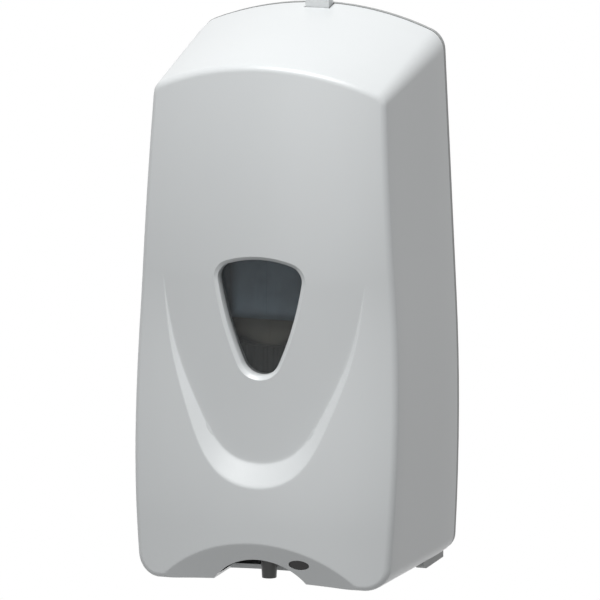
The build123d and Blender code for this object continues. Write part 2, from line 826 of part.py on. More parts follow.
def bottle_form(inset):
    """Refill bottle as a full solid: straight body, shoulder down to the neck, and the nose behind the window."""
    depth = bottle_front_reach - bottle_rear_reach - 2 * inset
    middle = (bottle_front_reach + bottle_rear_reach) / 2
    with BuildPart() as form:
        with BuildSketch(Plane.XY.offset(up(bottle_shoulder_rise))) as plan:
            with Locations((0, -middle)):
                RectangleRounded(2 * (bottle_half - inset), depth, bottle_edge_r - inset)
        with BuildSketch(Plane.XY.offset(up(bottle_neck_rise))) as neck:
            with Locations((0, -pump_reach)):
                Circle(neck_r - inset)
        loft([plan.sketch, neck.sketch])
        extrude(plan.sketch, amount=bottle_top_rise - bottle_shoulder_rise - inset)
        top_edges = form.edges().group_by(Axis.Z)[-1]
        fillet(top_edges, bottle_top_r - inset)
    with BuildPart() as nose:
        with Locations((0, -middle, up(bottle_shoulder_rise) + inset)):
            Box(
                2 * (panel_nose_half - inset),
                panel_nose_reach - inset - middle,
                bottle_top_rise - bottle_shoulder_rise - panel_nose_margin - 2 * inset,
                align=(Align.CENTER, Align.MAX, Align.MIN),
            )
        front_edges = nose.faces().sort_by(Axis.Y)[0].edges()
        fillet(front_edges, panel_nose_r - inset)
    with BuildPart() as whole:
        add(form.part)
        add(nose.part)
    return whole.part


# Soap refill: hollow bottle, gripped collar, foam pump cylinder, and the piston below it
collar_foot_rise = shelf_rise + shelf_thickness
with BuildPart() as bottle:
    add(bottle_form(0))
    with Locations((0, -pump_reach, up(collar_foot_rise + neck_drop))):
        Cylinder(neck_r, bottle_neck_rise - collar_foot_rise - neck_drop, align=(Align.CENTER, Align.CENTER, Align.MIN))
    add(bottle_form(bottle_wall), mode=Mode.SUBTRACT)
    with Locations((0, -pump_reach, up(collar_foot_rise))):
        Cylinder(
            neck_r - neck_wall,
            bottle_neck_rise + bottle_wall - collar_foot_rise,
            align=(Align.CENTER, Align.CENTER, Align.MIN),
            mode=Mode.SUBTRACT,
        )
write(bottle.part, "refill_bottle")

with BuildPart() as collar:
    with Locations((0, -pump_reach, up(collar_foot_rise))):
        Cylinder(collar_r, collar_height, align=(Align.CENTER, Align.CENTER, Align.MIN))
        Cylinder(
            neck_r + shaft_gap, collar_height, align=(Align.CENTER, Align.CENTER, Align.MIN), mode=Mode.SUBTRACT
        )
        with PolarLocations(collar_r + collar_grip_depth / 2, collar_grip_count):
            Cylinder(
                2 * collar_grip_depth,
                collar_height,
                align=(Align.CENTER, Align.CENTER, Align.MIN),
                mode=Mode.SUBTRACT,
            )
write(collar.part, "refill_collar")

cylinder_bore = cylinder_r - cylinder_wall
with BuildPart() as pump_cylinder:
    with Locations((0, -pump_reach, up(cylinder_foot_rise))):
        Cylinder(cylinder_r, collar_foot_rise - cylinder_foot_rise, align=(Align.CENTER, Align.CENTER, Align.MIN))
    with Locations((0, -pump_reach, up(collar_foot_rise))):
        Cylinder(neck_r - shaft_gap, neck_drop, align=(Align.CENTER, Align.CENTER, Align.MIN))
        Cylinder(plug_r, neck_drop + plug_height, align=(Align.CENTER, Align.CENTER, Align.MIN))
    with Locations((0, -pump_reach, up(cylinder_foot_rise + cylinder_wall))):
        Cylinder(
            cylinder_bore,
            shelf_rise - cylinder_foot_rise - cylinder_wall,
            align=(Align.CENTER, Align.CENTER, Align.MIN),
            mode=Mode.SUBTRACT,
        )
    with Locations((0, -pump_reach, up(cylinder_foot_rise))):
        Cylinder(piston_r + piston_gap, 4 * cylinder_wall, mode=Mode.SUBTRACT)
    with Locations((0, -pump_reach, up(shelf_rise))):
        Cylinder(liquid_bore_r, shelf_rise, mode=Mode.SUBTRACT)
write(pump_cylinder.part, "pump_cylinder")

piston_top_rise = cylinder_foot_rise + piston_lap
with BuildPart() as pump_piston:
    with Locations((0, -pump_reach, up(piston_foot_rise))):
        Cylinder(piston_r, piston_top_rise - piston_foot_rise, align=(Align.CENTER, Align.CENTER, Align.MIN))
    with Locations((0, -pump_reach, up(flange_rise))):
        Cylinder(flange_r, flange_thickness, align=(Align.CENTER, Align.CENTER, Align.MIN))
    with Locations((0, -pump_reach, up(piston_top_rise - piston_head))):
        Cylinder(cylinder_bore - piston_gap, piston_head, align=(Align.CENTER, Align.CENTER, Align.MIN))
    with Locations((0, -pump_reach, up(piston_top_rise))):
        Cylinder(liquid_bore_r, 2 * piston_top_rise, mode=Mode.SUBTRACT)
write(pump_piston.part, "pump_piston")

# Foam spout: socket under the piston, duct to the front, tapered nozzle pointing down
socket_top_rise = fork_rise - spring_gap
with BuildPart() as foam_spout:
    with Locations((0, -pump_reach, up(spout_head_rise))):
        Cylinder(spout_head_r, socket_top_rise - spout_head_rise, align=(Align.CENTER, Align.CENTER, Align.MIN))
    with Locations((0, -pump_reach, up(spout_duct_rise))):
        Box(
            2 * spout_duct_half,
            spout_reach - pump_reach,
            spout_duct_height,
            align=(Align.CENTER, Align.MAX, Align.MIN),
        )
    with Locations((0, -spout_reach, up(spout_duct_rise))):
        Cylinder(spout_duct_half, spout_duct_height, align=(Align.CENTER, Align.CENTER, Align.MIN))
    with BuildSketch(Plane.XY.offset(up(spout_duct_rise))) as nozzle_root:
        with Locations((0, -spout_reach)):
            Circle(spout_root_r)
    with BuildSketch(Plane.XY.offset(up(spout_foot_rise))) as nozzle_tip:
        with Locations((0, -spout_reach)):
            Circle(spout_tip_r)
    loft([nozzle_root.sketch, nozzle_tip.sketch])
    with Locations((0, -pump_reach, up(piston_foot_rise))):
        Cylinder(
            piston_r + shaft_gap, spout_head_rise, align=(Align.CENTER, Align.CENTER, Align.MIN), mode=Mode.SUBTRACT
        )
        Cylinder(
            spout_bore_r,
            piston_foot_rise - spout_duct_rise - spout_duct_height / 2,
            align=(Align.CENTER, Align.CENTER, Align.MAX),
            mode=Mode.SUBTRACT,
        )
    with Locations((0, -pump_reach, up(spout_duct_rise + spout_duct_height / 2))):
        Cylinder(
            spout_bore_r,
            spout_reach - pump_reach,
            rotation=(90, 0, 0),
            align=(Align.CENTER, Align.CENTER, Align.MIN),
            mode=Mode.SUBTRACT,
        )
    with Locations((0, -spout_reach, up(spout_foot_rise))):
        Cylinder(
            spout_bore_r,
            spout_duct_rise + spout_duct_height / 2,
            align=(Align.CENTER, Align.CENTER, Align.MIN),
            mode=Mode.SUBTRACT,
        )
write(foam_spout.part, "foam_spout")

# Lift carriage: fork round the piston, two sleeves on the rods, and the rack
pitch_reach = output_reach + rack_pinion_teeth * tooth_module / 2
root_depth = dedendum_share * tooth_module
tip_height = addendum_share * tooth_module
tooth_pitch = pi * tooth_module
root_half = tooth_share * (2 - tip_share) * tooth_pitch / 2
tip_half = tooth_share * tip_share * tooth_pitch / 2
tooth_corners = ((-root_half, -root_depth), (-tip_half, tip_height), (tip_half, tip_height), (root_half, -root_depth))
with BuildPart() as lift_carriage:
    with Locations((-fork_half, -fork_rear_reach, up(fork_rise))):
        Box(
            fork_half + rack_left + rack_width,
            pump_reach - fork_rear_reach,
            fork_thickness,
            align=(Align.MIN, Align.MAX, Align.MIN),
        )
    with Locations((0, -pump_reach, up(fork_rise))):
        Box(
            2 * flange_r,
            fork_front_reach - pump_reach,
            fork_thickness,
            align=(Align.CENTER, Align.MAX, Align.MIN),
        )
    with Locations((0, -pump_reach, up(fork_rise))):
        Cylinder(piston_r + fork_gap, 4 * fork_thickness, mode=Mode.SUBTRACT)
        Box(
            2 * (piston_r + fork_gap),
            fork_front_reach,
            4 * fork_thickness,
            align=(Align.CENTER, Align.MAX, Align.CENTER),
            mode=Mode.SUBTRACT,
        )
    with Locations((rack_left, -pitch_reach - root_depth, up(rack_foot_rise))):
        Box(
            rack_width,
            rack_back - root_depth,
            rack_top_rise - rack_foot_rise,
            align=(Align.MIN, Align.MAX, Align.MIN),
        )
    with BuildSketch(Plane.YZ.offset(rack_left)) as rack_teeth:
        first_tooth = -floor((output_rise - rack_foot_rise - root_half) / tooth_pitch - 1 / 2)
        last_tooth = floor((rack_top_rise - output_rise - root_half) / tooth_pitch - 1 / 2)
        for n in range(first_tooth - 1, last_tooth + 1):
            tooth_z = up(output_rise) + (n + 1 / 2) * tooth_pitch
            with BuildLine():
                Polyline(
                    (-pitch_reach - root_depth, tooth_z - root_half),
                    (-pitch_reach + tip_height, tooth_z - tip_half),
                    (-pitch_reach + tip_height, tooth_z + tip_half),
                    (-pitch_reach - root_depth, tooth_z + root_half),
                    close=True,
                )
            make_face()
    extrude(rack_teeth.sketch, amount=rack_width)
    for side in (1, -1):
        with Locations((side * rod_half_span, -rod_reach, up(fork_rise - sleeve_drop))):
            Cylinder(sleeve_r, sleeve_height, align=(Align.CENTER, Align.CENTER, Align.MIN))
            Cylinder(rod_r + rod_gap, 4 * sleeve_height, mode=Mode.SUBTRACT)
write(lift_carriage.part, "lift_carriage")

with BuildPart() as guide_rods:
    for side in (1, -1):
        with Locations((side * rod_half_span, -rod_reach, up(floor_rise))):
            Cylinder(rod_r, collar_foot_rise - floor_rise, align=(Align.CENTER, Align.CENTER, Align.MIN))
write(guide_rods.part, "guide_rods")

# Return springs round the rods, between the sleeves and the shelf
return_foot = fork_rise - sleeve_drop + sleeve_height + return_spring_wire / 2 + spring_gap
return_length = shelf_rise - return_foot - return_spring_wire / 2 - spring_gap
return_coil = coil(return_spring_r, return_spring_wire, 0, return_length, return_spring_turns)
return_springs = Compound(
    children=[Pos(side * rod_half_span, -rod_reach, up(return_foot)) * return_coil for side in (1, -1)]
)
write(return_springs, "return_springs")

# Gear train: centres, layers from left to right, and the turning places of the teeth
drive_mesh = (output_teeth + pinion_teeth) * tooth_module / 2
wheel_mesh = (wheel_teeth + pinion_teeth) * tooth_module / 2


def beside(centre, distance, angle):
    """Centre at a distance and an angle from another one, measured from the forward direction towards the top."""
    return (centre[0] + distance * cos(radians(angle)), centre[1] + distance * sin(radians(angle)))


output_centre = (output_reach, output_rise)
second_centre = beside(output_centre, drive_mesh, second_angle)
first_centre = beside(second_centre, wheel_mesh, first_angle)
motor_centre = beside(first_centre, wheel_mesh, motor_angle)
layers = [case_left + case_wall + layer_gap + n * (gear_width + layer_gap) for n in range(3)]
layers_end = layers[-1] + gear_width
case_right = layers_end + layer_gap + case_wall


def partner_phase(centre, teeth, phase, other_centre, other_teeth):
    """Angle of one tooth of the second gear that sets it between the teeth of the first."""
    toward = degrees(atan2(other_centre[1] - centre[1], other_centre[0] - centre[0]))
    share = (toward - phase) * teeth / 360 % 1
    return toward + 180 + (share + 1 / 2) * 360 / other_teeth


def gear(start, width, centre, teeth, phase):
    """Spur gear with straight flanks, its angles measured from the forward direction towards the top."""
    pitch_r = teeth * tooth_module / 2
    points = []
    for n in range(teeth):
        for half, height in tooth_corners:
            angle = radians(phase + n * 360 / teeth) + half / pitch_r
            radius = pitch_r + height
            points.append((-centre[0] - radius * cos(angle), up(centre[1]) + radius * sin(angle)))
    with BuildPart() as blank:
        with BuildSketch(Plane.YZ.offset(start)) as profile:
            with BuildLine():
                Polyline(*points, close=True)
            make_face()
        extrude(profile.sketch, amount=width)
    return blank.part


def axle(start, end, centre, radius):
    """Round bar along the X axis."""
    with BuildPart() as bar:
        with Locations((start, -centre[0], up(centre[1]))):
            Cylinder(radius, end - start, rotation=(0, 90, 0), align=(Align.CENTER, Align.CENTER, Align.MIN))
    return bar.part


second_phase = partner_phase(output_centre, output_teeth, 0, second_centre, pinion_teeth)
first_phase = partner_phase(second_centre, wheel_teeth, 0, first_centre, pinion_teeth)
motor_phase = partner_phase(first_centre, wheel_teeth, 0, motor_centre, pinion_teeth)

with BuildPart() as output_gear:
    add(gear(layers[2], gear_width, output_centre, output_teeth, 0))
    add(axle(rack_left, case_right - case_wall / 2, output_centre, output_shaft_r))
write(output_gear.part, "output_gear")

with BuildPart() as rack_pinion:
    add(gear(rack_left, rack_width, output_centre, rack_pinion_teeth, 0))
    add(axle(rack_left, rack_left + rack_width, output_centre, output_shaft_r), mode=Mode.SUBTRACT)
write(rack_pinion.part, "rack_pinion")

with BuildPart() as second_gear:
    add(gear(layers[1], gear_width, second_centre, wheel_teeth, 0))
    add(gear(layers[1], layers_end - layers[1], second_centre, pinion_teeth, second_phase))
    add(axle(layers[0], layers[1], second_centre, hub_r))
    add(axle(layers[0], layers_end, second_centre, gear_pin_r + shaft_gap), mode=Mode.SUBTRACT)
write(second_gear.part, "second_gear")

with BuildPart() as first_gear:
    add(gear(layers[0], gear_width, first_centre, wheel_teeth, 0))
    add(gear(layers[0], layers[1] + gear_width - layers[0], first_centre, pinion_teeth, first_phase))
    add(axle(layers[1] + gear_width, layers_end, first_centre, hub_r))
    add(axle(layers[0], layers_end, first_centre, gear_pin_r + shaft_gap), mode=Mode.SUBTRACT)
write(first_gear.part, "first_gear")

with BuildPart() as motor_pinion:
    add(gear(layers[0], gear_width, motor_centre, pinion_teeth, motor_phase))
    add(axle(case_left - motor_shaft_depth, layers[0], motor_centre, motor_shaft_r))
write(motor_pinion.part, "motor_pinion")

with BuildPart() as gear_pins:
    for centre in (first_centre, second_centre):
        add(axle(case_left, case_right, centre, gear_pin_r))
write(gear_pins.part, "gear_pins")


def case_outline(start, grow):
    """Tight outline round all the gears and the motor, drawn larger all round by the growth."""
    with BuildSketch(Plane.YZ.offset(start)) as outline:
        for centre, radius in case_circles:
            with Locations((-centre[0], up(centre[1]))):
                Circle(radius + grow)
        make_hull()
    return outline.sketch


wheel_r = wheel_teeth * tooth_module / 2 + tip_height
output_r = output_teeth * tooth_module / 2 + tip_height
case_circles = (
    (output_centre, output_r),
    (second_centre, wheel_r),
    (first_centre, wheel_r),
    (motor_centre, motor_r - case_wall - case_gap),
)
ear_places = []
for centre, radius, angle in (
    (output_centre, output_r, 135),
    (output_centre, output_r, 50),
    (second_centre, wheel_r, -15),
    (motor_centre, motor_r - case_wall - case_gap, 240),
):
    out = radius + case_gap + case_ear_out
    ear_places.append((centre[0] + out * cos(radians(angle)), centre[1] + out * sin(radians(angle))))


def case_half(start, end, wall_start, wall_end):
    """One half of the gearbox: a tray with bearing holes and screw ears at the split."""
    ear_start = max(start, case_split - 2 * case_ear_width)
    ear_end = min(end, case_split + case_ear_width)
    with BuildPart() as half:
        extrude(case_outline(start, case_gap + case_wall), amount=end - start)
        for place in ear_places:
            add(axle(ear_start, ear_end, place, case_ear_r))
        if start == case_left:
            for rise in case_lug_rises:
                with Locations((case_left, -panel_front, up(rise))):
                    Box(
                        case_lug_width,
                        motor_centre[0] - panel_front,
                        case_lug_height,
                        align=(Align.MIN, Align.MAX, Align.MIN),
                    )
        extrude(case_outline(wall_start, case_gap), amount=wall_end - wall_start, mode=Mode.SUBTRACT)
        for centre in (first_centre, second_centre):
            add(axle(start, end, centre, gear_pin_r + shaft_gap), mode=Mode.SUBTRACT)
    return half.part


with BuildPart() as gearbox_case:
    add(case_half(case_left, case_split, case_left + case_wall, case_split))
    add(axle(case_left, case_split, output_centre, output_shaft_r + shaft_gap), mode=Mode.SUBTRACT)
    add(axle(case_left, case_split, motor_centre, motor_boss_r + shaft_gap), mode=Mode.SUBTRACT)
    for place in ear_places:
        add(axle(case_left, case_split, place, screw_r), mode=Mode.SUBTRACT)
write(gearbox_case.part, "gearbox_case")

with BuildPart() as gearbox_cover:
    add(case_half(case_split, case_right, case_split, case_right - case_wall))
    add(axle(case_split, case_right, output_centre, output_shaft_r + shaft_gap), mode=Mode.SUBTRACT)
    for place in ear_places:
        add(axle(case_split, case_right, place, screw_r + screw_fit), mode=Mode.SUBTRACT)
write(gearbox_cover.part, "gearbox_cover")

# Motor with two flats, its front boss in the gearbox and its cap at the far end
with BuildPart() as motor:
    add(axle(case_left - motor_length, case_left, motor_centre, motor_r))
    with Locations((case_left, -motor_centre[0], up(motor_centre[1]))):
        Box(
            2 * motor_length,
            2 * motor_r,
            2 * motor_flat,
            mode=Mode.INTERSECT,
        )
    add(axle(case_left, case_left + case_wall, motor_centre, motor_boss_r))
    add(axle(case_left - motor_length - motor_cap, case_left - motor_length, motor_centre, motor_cap_r))
    add(
        axle(case_left - motor_shaft_depth, case_left + case_wall, motor_centre, motor_shaft_r + shaft_gap),
        mode=Mode.SUBTRACT,
    )
write(motor.part, "motor")

# Battery box, its four cells, the contacts and the door
box_left = boss_inner - boss_margin
box_right = box_left - 2 * (box_wall + cell_r) - cell_gap
box_front = battery_front_reach
box_depth = 4 * cell_r + 3 * cell_gap
box_rear = box_front - box_depth - box_wall
box_middle = -(box_left + box_right) / 2
box_height = shelf_rise - box_foot_rise
cell_reaches = (box_front - cell_gap - cell_r, box_front - 2 * cell_gap - 3 * cell_r)
cell_foot = box_foot_rise + box_wall + contact_thickness
with BuildPart() as battery_box:
    with Locations((box_middle, -box_rear, up(box_foot_rise))):
        Box(box_left - box_right, box_front - box_rear, box_height, align=(Align.CENTER, Align.MAX, Align.MIN))
    with Locations((box_middle, -box_rear - box_wall, up(box_foot_rise + box_wall))):
        Box(
            box_left - box_right - 2 * box_wall,
            box_front,
            box_height - 2 * box_wall,
            align=(Align.CENTER, Align.MAX, Align.MIN),
            mode=Mode.SUBTRACT,
        )
    for rise in box_post_rises:
        with Locations((box_middle, -panel_front, up(rise))):
            Box(box_post_width, box_rear - panel_front, box_post_width, align=(Align.CENTER, Align.MAX, Align.MIN))
write(battery_box.part, "battery_box")

with BuildPart() as battery_cells:
    for reach in cell_reaches:
        for n in range(2):
            with Locations((box_middle, -reach, up(cell_foot + n * (cell_length + cell_gap)))):
                Cylinder(cell_r, cell_length - cell_button, align=(Align.CENTER, Align.CENTER, Align.MIN))
                Cylinder(cell_button_r, cell_length, align=(Align.CENTER, Align.CENTER, Align.MIN))
write(battery_cells.part, "battery_cells")

with BuildPart() as battery_contacts:
    for reach in cell_reaches:
        for rise in (box_foot_rise + box_wall, shelf_rise - box_wall - contact_thickness):
            with Locations((box_middle, -reach, up(rise))):
                Box(contact_width, contact_width, contact_thickness, align=(Align.CENTER, Align.CENTER, Align.MIN))
write(battery_contacts.part, "battery_contacts")

with BuildPart() as battery_door:
    with Locations((box_middle, -box_front, up(box_foot_rise))):
        Box(box_left - box_right, door_thickness, box_height - door_gap, align=(Align.CENTER, Align.MAX, Align.MIN))
    with Locations((box_middle, -box_front - door_thickness, up(box_foot_rise + box_height - 2 * door_grip_height))):
        Box(door_grip_width, door_grip_depth, door_grip_height, align=(Align.CENTER, Align.MAX, Align.MIN))
    for rise in (box_foot_rise + box_wall + door_gap, shelf_rise - box_wall - 2 * door_gap - door_tongue):
        for side in (1, -1):
            with Locations((box_middle + side * (cell_r - door_tongue / 2 - door_gap), -box_front, up(rise))):
                Box(door_tongue, door_tongue, door_tongue, align=(Align.CENTER, Align.MIN, Align.MIN))
write(battery_door.part, "battery_door")

# Small screws, all alike: chassis to plate, control board to chassis, gearbox halves to each other
with BuildPart() as one_screw:
    Cylinder(screw_head_r, screw_head, align=(Align.CENTER, Align.CENTER, Align.MIN))
    Cylinder(
        screw_r,
        panel_thickness + chassis_gap + screw_bite,
        align=(Align.CENTER, Align.CENTER, Align.MAX),
    )
screw_places = [
    Pos(x, -panel_front, up(rise)) * Rot(90, 0, 0)
    for x in (-chassis_screw_half, chassis_screw_half)
    for rise in (chassis_screw_low_rise, chassis_screw_high_rise)
]
screw_places += [Pos(x, -board_front, z) * Rot(90, 0, 0) for x, z in board_corners]
screw_places += [Pos(case_split + case_ear_width, -reach, up(rise)) * Rot(0, 90, 0) for reach, rise in ear_places]
small_screws = Compound(children=[place * one_screw.part for place in screw_places])
write(small_screws, "small_screws")
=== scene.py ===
# %% [markdown]
# # A touch-free foam soap dispenser
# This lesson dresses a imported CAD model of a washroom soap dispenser.
# The model gives every moving piece its place, and the cells below give it its looks.
# Lengths of pieces are in millimetres until a mesh is made.
# The camera and the lamps are placed in metres, Blender's own unit.

# %% Load the fixed frame
import json
import math

import bpy
import numpy as np
from mathutils import Matrix, Vector


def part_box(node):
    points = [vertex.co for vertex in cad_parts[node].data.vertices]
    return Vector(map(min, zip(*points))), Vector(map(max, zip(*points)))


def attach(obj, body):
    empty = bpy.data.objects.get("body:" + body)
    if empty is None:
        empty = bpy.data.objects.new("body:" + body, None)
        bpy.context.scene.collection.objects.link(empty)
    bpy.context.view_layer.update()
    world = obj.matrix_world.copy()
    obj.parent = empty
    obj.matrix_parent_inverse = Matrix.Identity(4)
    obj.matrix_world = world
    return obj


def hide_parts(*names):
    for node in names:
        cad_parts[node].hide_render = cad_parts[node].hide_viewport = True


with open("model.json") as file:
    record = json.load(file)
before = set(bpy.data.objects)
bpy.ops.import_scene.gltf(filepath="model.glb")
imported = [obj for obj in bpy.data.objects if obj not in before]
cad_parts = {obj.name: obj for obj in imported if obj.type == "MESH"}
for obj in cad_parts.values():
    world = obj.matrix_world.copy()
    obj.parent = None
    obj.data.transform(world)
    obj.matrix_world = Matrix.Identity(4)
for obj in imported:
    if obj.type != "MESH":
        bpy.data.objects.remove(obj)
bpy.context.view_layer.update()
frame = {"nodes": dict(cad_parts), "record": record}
MM = 1000

# %% [markdown]
# ## Camera
# The photograph was taken from far away with a long lens: the edges of the box stay almost parallel.
# A real photographer would step back and zoom in, and the numbers here come from fitting the silhouette.
# The camera looks along minus its own Z axis, so its matrix is built from right, up and back vectors.

# %% Camera at the photograph's viewing angle
turn, tilt = math.radians(17.94), math.radians(10.94)
distance, shift_right, shift_down = 5.729, 0.0026, 0.00426
focal_pixels, picture_pixels, film_width = 10762, 600, 36


def link(name, data):
    """New object with its data, placed in the scene."""
    item = bpy.data.objects.new(name, data)
    bpy.context.scene.collection.objects.link(item)
    return item


back = Vector((math.sin(turn) * math.cos(tilt), -math.cos(turn) * math.cos(tilt), math.sin(tilt)))
right = Vector((math.cos(turn), math.sin(turn), 0))
above = back.cross(right)
aim = Vector((0, -0.050, -0.004))
eye = aim + back * distance + right * shift_right - above * shift_down
camera_data = bpy.data.cameras.new("camera")
camera_data.lens = focal_pixels / picture_pixels * film_width
camera_data.sensor_width = film_width
camera_data.clip_end = 100
camera = link("camera", camera_data)
camera.matrix_world = Matrix.Translation(eye) @ Matrix((right, above, back)).transposed().to_4x4()
bpy.context.scene.camera = camera
bpy.context.scene.view_settings.view_transform = "Standard"
print("camera distance, m:", round((eye - aim).length, 3))

# %% [markdown]
# ## Meshes from arrays
# A surface here is a grid of points: one index runs along it, the other across.
# Working on whole numpy arrays is quick, and one helper turns any such grid into a Blender mesh.
# The faces of a closed shape must point outwards.
# So the helper measures the signed volume, and turns the faces round if it is negative.

# %% Grid to mesh
SHARP = math.radians(35)


def grid_faces(rows, columns, close_rows, close_columns):
    """Four-sided faces between neighbours of a grid, with its ends joined where asked."""
    row = np.arange(rows if close_rows else rows - 1)
    column = np.arange(columns if close_columns else columns - 1)
    i, j = (a.ravel() for a in np.meshgrid(row, column, indexing="ij"))
    i_next, j_next = (i + 1) % rows, (j + 1) % columns
    corners = (i * columns + j, i_next * columns + j, i_next * columns + j_next, i * columns + j_next)
    return np.stack(corners, axis=1)


def signed_volume(points, faces):
    """Sum of the tetrahedra from the first point to both halves of each face: positive if they face out."""
    p = points - points[0]
    a, b, c, d = (p[faces[:, k]] for k in range(4))
    return float((np.cross(a, b) * c).sum() + (np.cross(a, c) * d).sum()) / 6


def mesh_from_grid(name, grid, close_rows=False, close_columns=False):
    """Object whose surface is the grid, an array of rows x columns x 3 in millimetres."""
    rows, columns = grid.shape[:2]
    points = grid.reshape(-1, 3) / MM
    faces = grid_faces(rows, columns, close_rows, close_columns)
    if signed_volume(points, faces) < 0:
        faces = faces[:, ::-1]
    mesh = bpy.data.meshes.new(name)
    mesh.from_pydata(points.tolist(), [], faces.tolist())
    mesh.validate()
    mesh.shade_smooth()
    mesh.set_sharp_from_angle(angle=SHARP)
    return link(name, mesh)


print("faces of an open grid of 3 x 4 points:", len(grid_faces(3, 4, False, False)))

# %% [markdown]
# ## Outlines from arcs
# The housing's front view is a chain of arcs with rounded corners, as a pattern maker would draw it.
# A corner of radius r between two circles has its centre where both are r away.
# That is where two other circles meet.

# %% Arc helpers
def circle_through(a, b, c):
    """Centre and radius of the circle through three points, from the two perpendicular bisectors."""
    a, b, c = (np.array(p, float) for p in (a, b, c))
    sides = 2 * np.array([b - a, c - a])
    centre = np.linalg.solve(sides, [b @ b - a @ a, c @ c - a @ a])
    return centre, float(np.hypot(*(a - centre)))


def meeting(first, first_r, second, second_r, near):
    """Point at one distance from the first centre and another from the second, on the side of a point."""
    first, second = np.array(first, float), np.array(second, float)
    gap = second - first
    distance = np.hypot(*gap)
    along = (distance**2 + first_r**2 - second_r**2) / (2 * distance)
    aside = math.sqrt(max(0.0, first_r**2 - along**2))
    unit = gap / distance
    places = [first + unit * along + np.array([-unit[1], unit[0]]) * aside * side for side in (1, -1)]
    return min(places, key=lambda p: np.hypot(*(p - np.array(near))))


def on_circle(centre, radius, toward):
    """Point of the circle in the direction of another point."""
    away = np.array(toward) - centre
    return centre + away * radius / np.hypot(*away)


def arc(centre, start, end, count):
    """Points along the shorter arc, without its end."""
    a = math.atan2(start[1] - centre[1], start[0] - centre[0])
    b = math.atan2(end[1] - centre[1], end[0] - centre[0])
    b = a + (b - a + math.pi) % (2 * math.pi) - math.pi
    angles = a + (b - a) * np.arange(count) / count
    return centre + np.hypot(*(np.array(start) - centre)) * np.stack([np.cos(angles), np.sin(angles)], axis=1)


def straight(start, end, count):
    """Points along a line, without its end."""
    share = (np.arange(count) / count)[:, None]
    return np.array(start) * (1 - share) + np.array(end) * share


def mirrored(half, last):
    """Whole loop from its right half, drawn from a point on the middle line to another one."""
    left = half[1:][::-1] * [-1, 1]
    return np.concatenate([half, [last], left])


print("circle through three corners of a square:", circle_through((0, 0), (1, 0), (1, 1)))

# %% Housing outline on a plane at one reach from the wall
REAR, NOSE = 3.6, 125.0
WAIST_RISE, HIP_RISE = 80.0, 140.0
OUTLINE_COUNTS = (58, 16, 64, 48, 104, 14, 46)


def housing_outline(reach, inset):
    """Foot arc, corner, two side arcs, straight side, shoulder corner and top arc.

    All sizes change evenly with the reach, from the wall to the nose.
    """
    def at(rear, nose):
        return rear + (nose - rear) * reach / NOSE
    waist, hip, foot = at(76.9, 72.2) - inset, at(75.4, 70.3) - inset, at(74.5, 68.0) - inset
    apex, shoulder_rise = at(296.0, 273.3) - inset, at(281.0, 255.6) - inset
    foot_rise, foot_middle = inset - 2.0, inset + 1.5
    foot_r, shoulder_r = at(11.0, 12.5) - inset, at(13.0, 7.0) - inset
    bow = HIP_RISE - WAIST_RISE
    climb = shoulder_rise - HIP_RISE
    lean = math.tan(2 * math.atan((waist - hip) / bow))
    shoulder = hip - lean * climb
    sole, sole_r = circle_through((-foot, foot_rise), (0, foot_middle), (foot, foot_rise))
    low_r = ((waist - foot) ** 2 + (WAIST_RISE - foot_rise) ** 2) / (2 * (waist - foot))
    low = np.array([waist - low_r, WAIST_RISE])
    high_r = ((waist - hip) ** 2 + bow**2) / (2 * (waist - hip))
    high = np.array([waist - high_r, WAIST_RISE])
    top, top_r = circle_through((-shoulder, shoulder_rise), (0, apex), (shoulder, shoulder_rise))
    heel = meeting(sole, sole_r + foot_r, low, low_r - foot_r, (foot, foot_rise))
    side = np.array([shoulder - hip, climb]) / math.hypot(shoulder - hip, climb)
    inward = np.array([-side[1], side[0]])
    start = np.array([hip, HIP_RISE]) + inward * shoulder_r - top
    along = -(start @ side) + math.sqrt((start @ side) ** 2 - start @ start + (top_r - shoulder_r) ** 2)
    brow = top + start + side * along
    heel_low, heel_high = on_circle(sole, sole_r, heel), on_circle(low, low_r, heel)
    brow_low, brow_high = brow - inward * shoulder_r, on_circle(top, top_r, brow)
    n = OUTLINE_COUNTS
    half = np.concatenate([
        arc(sole, (0, foot_middle), heel_low, n[0]),
        arc(heel, heel_low, heel_high, n[1]),
        arc(low, heel_high, (waist, WAIST_RISE), n[2]),
        arc(high, (waist, WAIST_RISE), (hip, HIP_RISE), n[3]),
        straight((hip, HIP_RISE), brow_low, n[4]),
        arc(brow, brow_low, brow_high, n[5]),
        arc(top, brow_high, (0, apex), n[6]),
    ])
    return mirrored(half, (0, apex))


outer_ends = housing_outline(REAR, 0), housing_outline(NOSE, 0)
print("outline points:", len(outer_ends[0]), "front width, mm:", round(float(np.ptp(outer_ends[1][:, 0])), 1))


# %% Window outline
CREST_RISE, TIP_RISE, TIP_R = 174.2, 99.0, 11.2
CORNER_HALF, CORNER_RISE, CORNER_R = 24.0, 168.8, 8.3
BOW_HALF, BOW_RISE = 18.4, 141.0
WINDOW_COUNTS = (400, 400, 400, 400)


